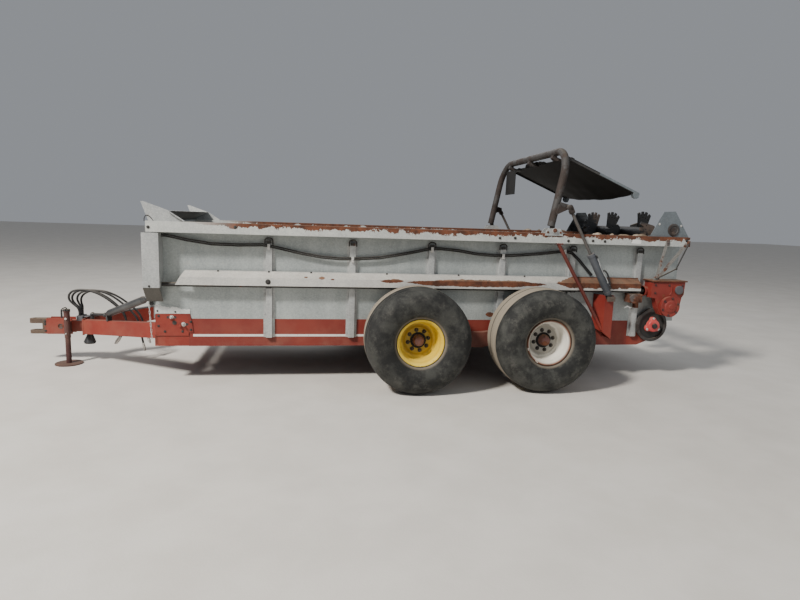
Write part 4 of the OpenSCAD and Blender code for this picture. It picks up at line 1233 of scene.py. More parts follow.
@dataclass
class Hoses:
    """The four free hoses at the tongue, from their clamp to their couplers.

    HOSE_ROUTES holds their routes in millimetres, with the front end of the rails at ROUTE_ZERO.
    """

    shop: Shop
    radius: float = 0.011
    rings: int = 110
    fitting: tuple[Pair, ...] = (
        (-0.03, 0.0113), (-0.03, 0.0125), (-0.006, 0.0125), (-0.004, 0.0148), (0.008, 0.0148), (0.01, 0.0135),
        (0.014, 0.0135), (0.016, 0.015), (0.036, 0.015), (0.039, 0.012), (0.052, 0.0118), (0.054, 0.01),
        (0.062, 0.0105), (0.0645, 0.0085))

    def coupler(self, number: int, tip: Array, along: Array) -> bpy.types.Object:
        """Builds the coupler on a hose's end: a crimped sleeve, a knurled collar and the plug's nose.

        Args:
            number: number of the hose.
            tip: end of the hose.
            along: direction of that end.

        Returns:
            The object.
        """
        skin = Skin().spun(self.fitting, tip, along, 24)
        replaced = ("hose_couplers",) if number == 1 else ()
        return self.shop.fit(skin, f"coupler_{number}", "bright", replaced=replaced)

    def build(self) -> None:
        """Builds every hose with its coupler."""
        for number, (name, route) in enumerate(HOSE_ROUTES.items(), 1):
            points = np.array(route) / 1000 + [SHIFT - ROUTE_ZERO, 0.0, 0.0]
            path = smooth_line(points, self.rings)
            skin = Skin().tube(path, self.radius, 14)
            hose = self.shop.fit(skin, f"{name}_tube", "hose", replaced=(name,))
            coupler = self.coupler(number, path[-1], unit(path[-1] - path[-3]))


# Wheels


@dataclass
class Wheels:
    """The four wheels: ribbed flotation tyres on deep-dished rims."""

    shop: Shop
    half_tread: float = 0.172
    groove_depth: float = 0.011
    middle: float = 1.235
    axles: dict[str, float] = field(default_factory=lambda: {"front": FRONT_AXLE, "rear": REAR_AXLE})
    grooves: tuple[float, ...] = (-0.125, -0.045, 0.045, 0.125)
    stud_ring: float = 0.102
    disc_face: float = 0.062
    tyre_steps: int = 180
    rim_steps: int = 96

    def tyre_profile(self) -> Array:
        """Closed section of the tyre as pairs of distance from the middle and radius.

        The outside is a smooth line over bead, belly, shoulder and tread; the grooves are cut as narrow wells.

        Returns:
            Pairs in one closed line.
        """
        half = np.array([
            (0.196, 0.231), (0.222, 0.242), (0.247, 0.268), (0.264, 0.308), (0.2725, 0.352), (0.271, 0.395),
            (0.26, 0.434), (0.24, 0.466), (0.216, 0.487), (0.196, 0.4985), (0.18, 0.5045),
        ])
        wall = smooth_line(half, 40)
        wall[:, 1] += 0.0016 * np.exp(-((wall[:, 0] - 0.2705) / 0.0012) ** 2)
        across = np.linspace(self.half_tread, -self.half_tread, 173)
        wells = sum(np.clip(1.6 - abs(across - g) / 0.005, 0.0, 1.0) for g in self.grooves)
        crown = AXLE_HEIGHT - 0.011 * (across / self.half_tread) ** 2
        tread = np.column_stack([across, crown - self.groove_depth * wells])
        other = wall[::-1] * np.array([-1.0, 1.0])
        inside = np.array([(-0.19, 0.208), (-0.1, 0.205), (0.1, 0.205), (0.19, 0.208)])
        return np.concatenate([wall, tread, other, inside])

    def rim_profile(self) -> Array:
        """Closed section of the rim's bowl and disc as pairs of distance from the middle and radius.

        Positive distances are the outer side; the bowl runs from the outer lip over the well to the inner lip.

        Returns:
            Pairs in one closed line.
        """
        seat = np.array([(0.06, 0.202), (0.15, 0.2025), (0.2, 0.206), (0.206, 0.2255), (0.213, 0.2285)])
        outside = smooth_line(np.concatenate([seat[::-1] * [-1, 1], seat]), 60)
        lip = np.array([(0.2175, 0.226), (0.218, 0.221), (0.214, 0.217)])
        inside = smooth_line(np.array([
            (0.206, 0.208), (0.19, 0.1985), (0.15, 0.195), (0.12, 0.188), (0.085, 0.183), (0.062, 0.179)]), 28)
        disc = smooth_line(np.array([
            (0.054, 0.172), (0.046, 0.16), (0.046, 0.144), (0.056, 0.13), (0.062, 0.12), (0.062, 0.04)]), 26)
        back = np.array([(0.052, 0.04), (0.052, 0.118), (0.036, 0.144), (0.036, 0.165), (0.046, 0.19)])
        inner = np.array([(-0.15, 0.1935), (-0.2, 0.1985), (-0.214, 0.217), (-0.218, 0.221)])
        return np.concatenate([outside, lip, inside, disc, back, inner])

    def wheel(self, side: Side, end: str) -> None:
        """Builds one wheel's tyre, rim, studs and hub.

        Args:
            side: the side of the machine.
            end: front or rear.
        """
        place = f"{side.word}_{end}"
        body = f"wheel_{place}"
        colour = "yellow" if end == "front" else "white"
        centre = at(self.axles[end], side.value * self.middle, AXLE_HEIGHT)
        for part, profile, steps, finish, sharp in (
                ("tyre", self.tyre_profile(), self.tyre_steps, f"tyre_{end}", 50),
                ("rim", self.rim_profile(), self.rim_steps, colour, 40)):
            skin = Skin().spun(profile, centre, side.out, steps, loop=True)
            self.shop.fit(skin, f"{body}_{part}", finish, body, (f"{part}_{place}",), sharp=sharp)
        ring = around(centre, self.stud_ring, circle(8, 0.2))
        studs = Skin().bolts(ring + self.disc_face * side.out, side.out, 0.0155, 0.02)
        for foot in ring + (self.disc_face + 0.018) * side.out:
            studs.spun([(0.0, 0.0075), (0.014, 0.0075), (0.016, 0.006)], foot, side.out, 12)
        self.shop.fit(studs, f"{body}_studs", "dark", body)
        hub = [(-0.108, 0.04), (-0.108, 0.076), (0.05, 0.076), (0.064, 0.079), (0.067, 0.077), (0.067, 0.04)]
        hub = Skin().spun(hub, centre, side.out, 48)
        self.shop.fit(hub, f"{body}_hub", "rubber", body, slot="dark_steel", sharp=30)
        cap = [(0.06, 0.001), (0.06, 0.058), (0.084, 0.056), (0.09, 0.051), (0.094, 0.0495), (0.124, 0.047),
               (0.131, 0.043), (0.134, 0.034), (0.134, 0.001)]
        self.shop.fit(Skin().spun(cap, centre, side.out, 48), f"{body}_cap", "cap", body, sharp=30)

    def build(self) -> None:
        """Builds the four wheels."""
        for side in Side:
            for end in self.axles:
                self.wheel(side, end)


# Load box


@dataclass
class LoadBox:
    """Small parts on the load box: stake bolts, straps, hose clips, rail hardware and a pale corner sheet of painted
    sunlight.
    """

    shop: Shop
    wall: float = 0.87
    crown: float = 0.905
    rail: float = 1.03
    rail_top: float = 1.578
    head: float = 1.425
    stakes: tuple[Pair, ...] = (
        (1.1, 0.456), (1.92, 0.456), (2.73, 0.665), (3.49, 0.665), (4.27, 0.665), (5.05, 0.468))
    stake_flange: float = 0.045
    bolt_step: float = 0.19
    hook_y: float = 0.998
    lump_y: float = 0.965
    adjuster_face: float = 0.8775
    slot_face: float = 0.8782
    cover_gap: Pair = (0.95, 1.13)
    clips: tuple[Pair, ...] = (
        (1.1, 1.354), (1.92, 1.246), (2.73, 1.366), (3.49, 1.314), (4.17, 1.377))
    rail_bolts: tuple[Pair, ...] = (
        (0.025, 1.523), (0.8, 1.545), (3.402, 1.516), (3.565, 1.521), (4.146, 1.506), (4.419, 1.514),
        (4.554, 1.512), (5.28, 1.532), (5.5, 1.545))
    trunk_bolt: Pair = (0.018, 0.974)
    hook: tuple[Pair, ...] = (
        (-0.016, 1.575), (-0.014, 1.605), (0.004, 1.631), (0.03, 1.622), (0.052, 1.598), (0.066, 1.578))
    lumps: tuple[Point, ...] = ((4.5, 0.046, 0.022), (4.665, 0.016, 0.018), (4.975, 0.07, 0.02), (4.79, 0.055, 0.013))

    def stake_bolts(self, side: Side) -> None:
        """Sets bolts down both flanges of each stake, at even steps that leave out the shaft's cover.

        Args:
            side: the side of the machine.
        """
        feet = []
        for x, foot in self.stakes:
            z = np.arange(foot + 0.05, self.head - 0.02, self.bolt_step)
            z = z[(z < self.cover_gap[0]) | (z > self.cover_gap[1])]
            feet += [(x + edge, height) for edge in (-self.stake_flange, self.stake_flange) for height in z]
        skin = Skin().bolts(spots(feet, side.value * (self.wall + 0.004)), side.out, 0.0078, 0.007)
        self.shop.fit(skin, f"stake_bolts_{side.word}", "zinc")

    def straps(self, side: Side) -> None:
        """Bends a dark strap over the head of each stake: two legs and a half ring, as a tube.

        Args:
            side: the side of the machine.
        """
        skin = Skin()
        y = side.value * (self.crown + 0.002)
        turn = np.linspace(0.0, np.pi, 13)
        for x, _ in self.stakes:
            arc = np.column_stack([x + 0.037 * np.cos(turn), 1.424 + 0.024 * np.sin(turn)])
            skin.tube(spots([(x + 0.037, 1.385), *arc, (x - 0.037, 1.385)], y), 0.0065, 8)
            skin.boxes(at(x, y, 1.408), (0.05, 0.012, 0.03))
        self.shop.fit(skin, f"stake_straps_{side.word}", "dark")

    def hose_clips(self, side: Side) -> None:
        """Clamps the pair of hoses to the stakes with flat clips and one bolt each.

        Args:
            side: the side of the machine.
        """
        places = spots(self.clips, side.value * (self.crown + 0.0105)) + 0.008 * UP
        skin = Skin().boxes(places, (0.026, 0.025, 0.052))
        skin.bolts(places + 0.0125 * side.out, side.out, 0.007, 0.007)
        self.shop.fit(skin, f"hose_clips_{side.word}", "bright", slot="galvanized", bevel=0.002)

    def rail_hardware(self, side: Side) -> None:
        """Bolts on the rail's outer face and the trunk, and a bent wire hook over the rail.

        Args:
            side: the side of the machine.
        """
        skin = Skin().bolts(spots(self.rail_bolts, side.value * self.rail), side.out, 0.011, 0.008)
        if side is Side.LEFT:
            skin.bolts(spots([self.trunk_bolt], -self.rail), -ACROSS, 0.008, 0.006)
        skin.tube(spots(smooth_line(np.array(self.hook), 28), side.value * self.hook_y), 0.004, 10)
        self.shop.fit(skin, f"rail_hardware_{side.word}", "dark")

    def rail_lumps(self, side: Side) -> None:
        """Caked lumps on the rail's top: rings that shrink by the root of 1 - share squared, ragged by two sines.

        Args:
            side: the side of the machine.
        """
        skin = Skin()
        turn = circle(24)
        for number, (x, half, height) in enumerate(self.lumps):
            ragged = 1.0 + 0.22 * np.sin(3 * turn + number) + 0.13 * np.sin(7 * turn + 2.0 * number)
            rows = []
            for share in (0.0, 0.35, 0.7, 0.93):
                width = math.sqrt(1.0 - share**2) * ragged
                rows.append(np.column_stack([
                    x + SHIFT + half * width * np.cos(turn), side.value * self.lump_y + 0.034 * width * np.sin(turn),
                    self.rail_top + height * share * (1.0 + 0.2 * np.sin(2 * turn + number))]))
            skin.net(np.array(rows))
        self.shop.fit(skin, f"rail_lumps_{side.word}", "caked", sharp=60)

    def torn_corner(self) -> None:
        """Cuts a thin sheet of paler zinc for the front corner: its colour is painted sunlight on the wall, and its
        ragged upper edge stands for the edge of a shadow. That edge is a falling line plus two sines and a few
        notches.
        """
        x = np.linspace(0.021, 0.347, 60)
        share = (x - x[0]) / (x[-1] - x[0])
        edge = 0.776 - 0.046 * share + 0.005 * np.sin(38 * x) + 0.0035 * np.sin(171 * x + 1.0)
        edge = edge - 0.012 * np.exp(-((share - 0.42) / 0.03) ** 2) - 0.01 * np.exp(-((share - 0.75) / 0.02) ** 2)
        outline = [*np.column_stack([x, edge]), (x[-1], 0.69), (x[0], 0.69)]
        # Painted sunlight: the paler zinc below the ragged edge stands for lit wall under a shadow.
        self.shop.fit(Skin().plate(outline, -0.8742, -0.8764), "torn_corner_sheet", "clean_zinc", sharp=50)

    def adjuster(self) -> None:
        """Bolts the red slack-adjuster plate to the sill's front end: dark slots, pale nuts, small dark bolts."""
        plate = Skin().plate([(0.03, 0.686), (0.346, 0.688), (0.364, 0.607), (0.375, 0.503), (0.027, 0.497)],
                             -0.8708, -self.adjuster_face)
        self.shop.fit(plate, "adjuster_plate", "sill", bevel=0.0015)
        slots, nuts, small = Skin(), Skin(), Skin()
        turn = circle(28)
        for x, z in ((0.174, 0.652), (0.283, 0.583)):
            far = 0.034 * np.sign(np.cos(turn))
            slots.plate(np.column_stack([x + far + 0.012 * np.cos(turn), z + 0.012 * np.sin(turn)]),
                        -0.877, -self.slot_face)
            nuts.bolts(at(x, -self.slot_face, z), -ACROSS, 0.017, 0.016)
            nuts.spun([(0.0, 0.0085), (0.03, 0.0085), (0.032, 0.007)], at(x, -0.885, z), -ACROSS, 16)
        feet = ((0.11, 0.512), (0.273, 0.512), (0.052, 0.567), (0.055, 0.665), (0.352, 0.61), (0.352, 0.53))
        small.bolts(spots(feet, -self.adjuster_face), -ACROSS, 0.009, 0.007)
        small.bolts(spots(((0.045, 0.715), (0.21, 0.706)), -0.8762), -ACROSS, 0.007, 0.005)
        self.shop.fit(slots, "adjuster_slots", "black", sharp=50)
        self.shop.fit(nuts, "adjuster_nuts", "bright")
        self.shop.fit(small, "adjuster_bolts", "dark")

    def patch(self) -> None:
        """Sticks the bare white patch on the left rail; it stays blank."""
        skin = Skin().plate([(4.858, 1.502), (4.966, 1.497), (4.968, 1.537), (4.872, 1.541)], -1.0296, -1.0306)
        self.shop.fit(skin, "rail_patch", "blank", sharp=50)

    def build(self) -> None:
        """Builds every small part of the box."""
        for side in Side:
            for part in (self.stake_bolts, self.straps, self.hose_clips, self.rail_hardware, self.rail_lumps):
                part(side)
        self.torn_corner()
        self.adjuster()
        self.patch()


# Tongue


@dataclass
class Tongue:
    """Small parts of the tongue: chain, hitch hardware and the stand's cap and crank."""

    shop: Shop
    jack: Pair = (-1.07, -0.13)
    links: int = 12
    pitch: float = 0.03
    wire: float = 0.0024

    def chain(self) -> None:
        """Hangs oval links; a link is a tube round two half circles, each turned a quarter from the last."""
        skin = Skin()
        turn, ring = circle(20), circle(8)[None, :, None]
        along = 0.0135 * np.sign(np.sin(turn)) + 0.0055 * np.sin(turn)
        across = 0.0055 * np.cos(turn)
        for i in range(self.links):
            flat = ALONG if i % 2 else ACROSS
            middle = at(-0.022 + 0.0015 * i, -0.905, 0.794 - self.pitch * i)
            path = middle + np.outer(across, flat) + np.outer(along, UP)
            ahead = unit(np.roll(path, -1, axis=0) - np.roll(path, 1, axis=0))
            side = np.cross(ahead, np.cross(flat, UP))
            top = np.cross(ahead, side)
            wire = self.wire * (np.cos(ring) * side[:, None] + np.sin(ring) * top[:, None])
            skin.net(path[:, None] + wire, loop=True)
        self.shop.fit(skin, "chain_links", "clean_zinc", replaced=("safety_chain",), slot="bright_steel", sharp=60)

    def hitch_parts(self) -> None:
        """Sets the rusty tube end in the cross hole and the dark bolts behind the fork's throat."""
        tube = [(-0.055, 0.001), (-0.055, 0.022), (-0.06, 0.023), (-0.06, 0.0274), (0.06, 0.0274), (0.06, 0.023),
                (0.055, 0.022), (0.055, 0.001)]
        self.shop.fit(Skin().spun(tube, at(-1.167, 0.0, 0.399), ACROSS, 32), "hitch_tube", "rust")
        for side in Side:
            feet = spots(((-1.322, 0.452), (-1.322, 0.425), (-1.318, 0.35)), side.value * 0.057)
            self.shop.fit(Skin().bolts(feet, side.out, 0.0095, 0.008), f"hitch_bolts_{side.word}", "dark")

    def stand(self) -> None:
        """Caps the stand and bends its crank: up from the cap, out and down to a grip, as one tube."""
        x, y = self.jack
        cap = [(0.0, 0.035), (0.01, 0.035), (0.016, 0.031), (0.019, 0.02), (0.02, 0.001)]
        skin = Skin().spun(cap, at(x, y, 0.583), UP, 28)
        bend = smooth_line(at(x, y, 0.0) + np.array([
            (0.0, 0.0, 0.6), (0.0, -0.002, 0.612), (-0.004, -0.02, 0.62), (-0.012, -0.06, 0.616),
            (-0.014, -0.082, 0.606), (-0.014, -0.088, 0.58), (-0.014, -0.088, 0.52)]), 40)
        skin.tube(bend, 0.0055, 10, ALONG)
        skin.tube(bend[-14:], 0.0095, 12, ALONG)
        self.shop.fit(skin, "stand_crank", "black")
        pin = Skin().spun([(-0.05, 0.0065), (0.052, 0.0065), (0.054, 0.005)], at(x, y, 0.34), ACROSS, 14)
        pin.bolts(at(x, y - 0.033, 0.5), -ACROSS, 0.009, 0.007)
        self.shop.fit(pin, "stand_pin", "bright")

    def build(self) -> None:
        """Builds the tongue's small parts."""
        self.chain()
        self.hitch_parts()
        self.stand()


# Gate


@dataclass(frozen=True)
class Tilted:
    """Axes of a tilted part, turned about Y.

    Args:
        origin: place of its origin in rail measure, x and z.
        cosine: cosine of the turn, positive from Z towards X.
        sine: its sine.
    """

    origin: Pair
    cosine: float
    sine: float

    @property
    def turn(self) -> Array:
        """Rotation matrix, whose columns are the part's own axes."""
        return np.array([[self.cosine, 0.0, self.sine], [0.0, 1.0, 0.0], [-self.sine, 0.0, self.cosine]])

    def place(self, first: object, y: object, third: object) -> Array:
        """Points along the part's own first and third axes and at y across: origin + matrix · (first, y, third).

        Args:
            first: distance along its first axis.
            y: distance from the middle plane.
            third: distance along its third axis.

        Returns:
            (..., 3) frame points.
        """
        own = np.stack(np.broadcast_arrays(first, y, third), -1)
        return at(self.origin[0], 0.0, self.origin[1]) + own @ self.turn.T


@dataclass
class Gate:
    """The lifting gate's sagging rubber sheet with its bars and brackets, and the hardware at its pivots."""

    shop: Shop
    slope: Tilted = Tilted((4.11344, 2.44046), math.cos(math.radians(22.3)), math.sin(math.radians(22.3)))
    half: float = 0.85
    start: float = 0.1
    length: float = 0.95
    deepest: float = 0.06
    bars_y: float = 0.847
    brackets_y: Pair = (0.812, 0.8505)
    pivot: Pair = (3.98, 1.61)
    lean: Tilted = Tilted((4.638, 0.92), 0.86962, -0.49372)
    cylinder_y: float = 1.075
    pivot_y: float = 1.049
    rod_eye: float = 1.0694

    def sag(self, u: Array, y: Array) -> Array:
        """Depth of the sheet below its plane: 0 at the front bar and the side bars, deepest along the rear edge.

        It is the deepest times the share of the way back to the power 1.4, times a bump that leans to the left,
        plus three small waves that grow towards the rear edge.

        Args:
            u: distance down the slope.
            y: distance from the middle plane.

        Returns:
            The depth.
        """
        back = np.clip((u - self.start) / (self.length - self.start), 0.0, 1.0)
        share = (y + self.half) / (2 * self.half)
        bump = np.clip(np.sin(np.pi * np.clip(share, 0, 1) ** 0.8), 0.0, 1.0) ** 0.75
        waves = 0.0035 * np.sin(9 * y + 4 * u) + 0.0022 * np.sin(23 * y - 9 * u) + 0.0018 * np.sin(31 * u + 7 * y)
        return (self.deepest * back**1.4 + waves * back) * bump

    def sheet(self) -> None:
        """Builds the sheet as an upper and a lower skin joined round the rim, then its frame."""
        u = np.linspace(self.start, self.length, 60)[:, None]
        y = np.linspace(-self.half, self.half, 120)[None, :]
        low = -0.04 - self.sag(u, y)
        ring = np.concatenate([self.slope.place(u, y, low + 0.006), self.slope.place(u, y, low)[:, ::-1]], axis=1)
        made = self.shop.fit(Skin().net(ring), "gate_sheet", "rubber", "gate", ("gate_panel",), sharp=60)
        self.frame()

    def frame(self) -> list[bpy.types.Object]:
        """Bars along the sheet's edges, the bolts through its front bar, end brackets and the hanging flap.

        Returns:
            The objects that move with the sheet.
        """
        place, turn, span = self.slope.place, self.slope.turn, self.length - self.start
        bars = Skin().boxes(place(self.start + 0.02, 0.0, -0.03), (0.04, 2 * self.half, 0.008), turn)
        for side in Side:
            middle = place((self.start + self.length) / 2 - 0.015, side.value * self.bars_y, -0.048)
            bars.boxes(middle, (span + 0.03, 0.006, 0.028), turn)
        across = np.linspace(-self.half, self.half, 60)
        bars.tube(place(self.length - 0.002, across, -0.038 - self.sag(self.length, across)), 0.0065, 10, UP)
        bars.plate([(4.1015, 2.348), (4.1975, 2.348), (4.1975, 2.34), (4.1015, 2.34)], 0.52, 0.85)
        rags = self.rags()
        made = self.shop.fit(bars, "gate_sheet_bars", "black", "gate", slot="black_steel", bevel=0.0015)
        feet = place(self.start + 0.02, np.linspace(-0.8, 0.8, 13), -0.026)
        fixed = self.shop.fit(Skin().bolts(feet, turn[:, 2], 0.01, 0.008), "gate_sheet_bolts", "bright", "gate")
        pale = Skin()
        ear = [(-0.014, 0.001), (-0.014, 0.011), (0.014, 0.011), (0.014, 0.001)]
        first, third = np.array([
            (-0.036, 0.006), (0.024, 0.006), (0.036, -0.006), (0.036, -0.05), (0.024, -0.064), (-0.014, -0.064),
            (-0.036, -0.044)]).T + [[self.length], [-0.04]]
        for side in Side:
            s = side.value
            pale.boxes(place(0.7, s * 0.8512, -0.046), (0.46, 0.0024, 0.022), turn)
            for y in self.brackets_y:
                pale.net(np.stack([place(first, s * out, third) for out in (y, y + 0.005)]))
            pale.spun(ear, place(self.length + 0.03, s * 0.842, -0.078), ACROSS, 20)
        corners = self.shop.fit(pale, "gate_end_brackets", "guard", "gate", bevel=0.001)
        return [made, fixed, corners, rags]

    def rags(self) -> bpy.types.Object:
        """Torn rubber strip ahead of the front bar, and the rubber flap that hangs at its right end.

        The strip's reach is 20 mm plus a third of a slow sine plus saw teeth of three sizes, cut to nothing where
        the sheet is torn through.

        Returns:
            The object.
        """
        y = np.linspace(-0.62, 0.8, 260)
        teeth = 0.016 * abs(y * 9.7 % 1.0 - 0.5) + 0.011 * abs(y * 23.3 % 1.0 - 0.5) + 0.006 * (y * 61.0 % 1.0)
        reach = 0.02 + 0.016 * np.sin(5.1 * y + 0.9) + teeth
        torn = np.exp(-(((y + 0.33) / 0.11) ** 4)) + np.exp(-(((y - 0.47) / 0.09) ** 4))
        reach = np.maximum(0.002, reach * (1.0 - torn))
        back, front, lift = self.start + 0.03, self.start - reach, -0.04 + 0.5 * reach
        skin = Skin().net(np.stack([self.slope.place(u, y, w) for u, w in (
            (back, -0.0355), (back, -0.0395), (front, lift - 0.002), (front, lift + 0.002))], 1))
        skin.plate([(4.1015, 2.348), (4.1095, 2.348), (4.1065, 2.042), (4.0985, 2.042)], 0.52, 0.85)
        return self.shop.fit(skin, "gate_rags", "rubber", "gate", sharp=60)

    def pivots(self, side: Side) -> None:
        """Bolts at a gate bracket: the pivot's nut on a pale washer, and two rusty bolts down through the rail.

        Args:
            side: the side of the machine.
        """
        x, z = self.pivot
        centre = at(x, side.value * self.pivot_y, z)
        washer = Skin().spun([(-0.001, 0.026), (0.004, 0.026), (0.0045, 0.012), (0.0, 0.012)], centre, side.out, 28)
        self.shop.fit(washer, f"pivot_washer_{side.word}", "clean_zinc", slot="bright_steel")
        nut = Skin().bolts(centre + 0.004 * side.out, side.out, 0.017, 0.014)
        nut.bolts(spots(((x - 0.07, 1.59), (x + 0.068, 1.59)), side.value * 1.04), side.out, 0.009, 0.008)
        self.shop.fit(nut, f"pivot_nut_{side.word}", "rust")

    def cylinder(self, side: Side) -> None:
        """Fittings of one cylinder: gland with notches, ports, return pipe, elbows, base eye and rod fork.

        Args:
            side: the side of the machine.
        """
        word, place, turn = side.word, self.lean.place, self.lean.turn
        body, y = f"barrel_{word}", side.value * self.cylinder_y
        foot, tip = place(0.0, y, 0.0), place(0.0, y, self.rod_eye)
        gland = [(0.492, 0.0362), (0.494, 0.0405), (0.523, 0.0405), (0.5255, 0.037), (0.5258, 0.0165), (0.52, 0.0163)]
        black = Skin().spun(gland, foot, turn[:, 2], 40)
        black.spun([(0.046, 0.0362), (0.048, 0.0395), (0.078, 0.0395), (0.08, 0.0362)], foot, turn[:, 2], 40)
        self.shop.fit(black, f"barrel_rings_{word}", "grey", body)
        out = 0.046 + 0.003 * np.sin(np.linspace(0, 9, 24))
        pipe = Skin().tube(place(out, y, np.linspace(0.155, 0.465, 24)), 0.0092, 12)
        self.shop.fit(pipe, f"barrel_pipe_{word}", "zinc", body, slot="bright_steel")
        loop = smooth_line(np.array([(0.1, 0.044), (0.13, 0.06), (0.19, 0.078), (0.25, 0.082), (0.29, 0.07),
                                     (0.3, 0.052), (0.27, 0.044)]), 40)
        dark = Skin().tube(place(loop[:, 1], y, loop[:, 0]), 0.0085, 12)
        for height, tall in ((0.468, 0.03), (0.105, 0.034)):
            dark.boxes(place(0.04, y, height), (0.03, 0.028, tall), turn)
        self.shop.fit(dark, f"barrel_loop_{word}", "black", body, slot="hose_rubber", bevel=0.002)
        eye = [(-0.0212, 0.0145), (-0.0212, 0.0298), (0.0212, 0.0298), (0.0212, 0.0145)]
        eye = Skin().spun(eye, foot, ACROSS, 40)
        eye.boxes(place(0.0, y, 0.036), (0.0425, 0.0425, 0.028), turn)
        self.shop.fit(eye, f"barrel_eye_{word}", "scale", body, bevel=0.002)
        half = np.linspace(-np.pi / 2, np.pi / 2, 15)
        first, third = np.transpose([*np.column_stack([0.026 * np.sin(half), 0.026 * np.cos(half)]),
                                     (0.024, -0.062), (-0.024, -0.062)])
        fork = Skin().net(np.stack([place(first, y + side.value * out, self.rod_eye + third)
                                    for out in (0.0205, 0.0265)]))
        fork.boxes(place(0.0, y, self.rod_eye - 0.052), (0.043, 0.046, 0.04), turn)
        fork.bolts(tip + 0.0265 * side.out, side.out, 0.014, 0.012)
        self.shop.fit(fork, f"rod_fork_{word}", "scale", f"rod_{word}", bevel=0.002)

    def build(self) -> None:
        """Builds the gate's pieces."""
        self.sheet()
        for side in Side:
            self.pivots(side)
            self.cylinder(side)


# Drive line


@dataclass
class DriveLine:
    """Details of the side drive: cover bolts and joints, gearbox lid, flange and caps, disc and lobed hub."""

    shop: Shop
    cover: float = 0.98
    joints: tuple[float, ...] = (1.25, 2.77, 4.03)
    lip_bolts: tuple[float, ...] = (0.62, 1.1, 1.51, 2.27, 3.02, 3.74)
    flange: Pair = (5.352, 0.83)
    cap: Pair = (5.445, 1.013)
    casting_y: float = -1.045
    strap: Pair = (4.905, 5.045)
    hub: Pair = (5.252, 0.6)
    lobes: tuple[float, ...] = (90.0, 210.0, 330.0)
    hub_boss: float = 0.0625
    lobe_radius: float = 0.034
    lobe_middle: float = 0.058
    hub_radius: float = 0.09
    hub_bolts: float = 0.078
    hub_rings: tuple[Point, ...] = (
        (0.93, 1.0, 0.0), (0.956, 1.0, 0.0), (0.9605, 0.965, 0.05), (0.9625, 0.9, 0.2), (0.963, 0.84, 0.7),
        (0.97, 0.76, 1.0), (0.9815, 0.72, 1.0), (0.9845, 0.66, 1.0), (0.985, 0.45, 1.0))

    def cover_parts(self) -> None:
        """Overlap strips where lengths of the cover meet, bolts on its lip and one large bolt on its face."""
        profile = np.array([(0, -0.9815, 0.986), (0, -0.9815, 1.063), (0, -0.9106, 1.1128), (0, -0.9106, 1.1215)])
        strips = Skin()
        for x in self.joints:
            strips.net(np.array([profile + at(x + edge, inward, 0.0) for edge, inward in (
                (-0.007, 0.0), (0.007, 0.0), (0.007, 0.0014), (-0.007, 0.0014))]), ring=False, loop=True)
        self.shop.fit(strips, "cover_joints", "cover")
        dark = Skin().bolts(at(1.097, -self.cover, 1.025), -ACROSS, 0.019, 0.012)
        dark.bolts(spots([(x, 1.1165) for x in self.lip_bolts], -0.9095), -ACROSS, 0.0075, 0.006)
        self.shop.fit(dark, "cover_bolts", "dark")

    def gearbox(self) -> None:
        """Dresses the gearbox: rusty lid, bolted flange, raised seam, shaft boss, side cap and foot bolts."""
        lid = Skin().plate([(5.136, 1.0975), (5.136, 1.1125), (5.543, 1.1125), (5.543, 1.0975)], -1.0625, -0.868)
        self.shop.fit(lid, "gearbox_lid", "rust", bevel=0.003)
        centre = at(self.flange[0], -1.08, self.flange[1])
        cast = Skin().spun([(-0.03, 0.108), (-0.004, 0.1115), (0.002, 0.1115), (0.0045, 0.108), (0.0035, 0.07),
                            (0.01, 0.064), (0.0145, 0.056), (0.015, 0.03), (0.0155, 0.001)], centre, -ACROSS, 64)
        cast.spun([(0.01, 0.001), (0.021, 0.001), (0.021, 0.024), (0.014, 0.028)], centre, -ACROSS, 40)
        seam = smooth_line(np.array([(5.15, 1.078), (5.172, 1.086), (5.34, 1.086), (5.366, 1.074), (5.372, 1.04),
                                     (5.372, 0.985), (5.352, 0.955)]), 60)
        cast.tube(spots(seam, self.casting_y), 0.0055, 10)
        boss = [(-0.034, 0.0485), (-0.036, 0.056), (-0.022, 0.057), (-0.018, 0.0485)]
        cast.spun(boss, at(5.13, -0.942, 0.985), ALONG, 40)
        self.shop.fit(cast, "gearbox_casting", "cast_red")
        bolts = Skin().bolts(around(centre, 0.093, circle(6, 0.35)) - 0.004 * ACROSS, -ACROSS, 0.0105, 0.009)
        feet = ((5.18, 1.06), (5.34, 1.06), (5.5, 1.06), (5.5, 0.975), (5.18, 0.975))
        bolts.bolts(spots(feet, self.casting_y), -ACROSS, 0.01, 0.009)
        self.shop.fit(bolts, "gearbox_bolts", "dark_red")
        hood = [(-0.01, 0.046), (0.002, 0.0475), (0.0055, 0.0475), (0.0085, 0.044), (0.01, 0.034), (0.0105, 0.001)]
        self.shop.fit(Skin().spun(hood, at(self.cap[0], -1.07, self.cap[1]), -ACROSS, 48), "shaft_cap", "plastic")

    def hub_outline(self, turn: Array) -> Array:
        """Reach of the lobed hub: the furthest of a round boss and three round lobes, smoothed, plus 3 mm.

        A lobe of radius q whose middle is p away reaches p cos t + root of (q squared - p squared sin squared t).

        Args:
            turn: angles round the hub.

        Returns:
            The reach at each angle.
        """
        reach = np.full(len(turn), self.hub_boss)
        for lobe in np.radians(self.lobes):
            t = np.angle(np.exp(1j * (turn - lobe)))
            inside = self.lobe_radius**2 - (self.lobe_middle * np.sin(t)) ** 2
            far = self.lobe_middle * np.cos(t) + np.sqrt(np.maximum(inside, 0.0))
            reach = np.maximum(reach, np.where((inside > 0) & (np.cos(t) > 0), far, 0.0))
        for _ in range(3):
            reach = np.convolve(np.concatenate([reach[-1:], reach, reach[:1]]), [0.25, 0.5, 0.25], "valid")
        return reach + 0.003

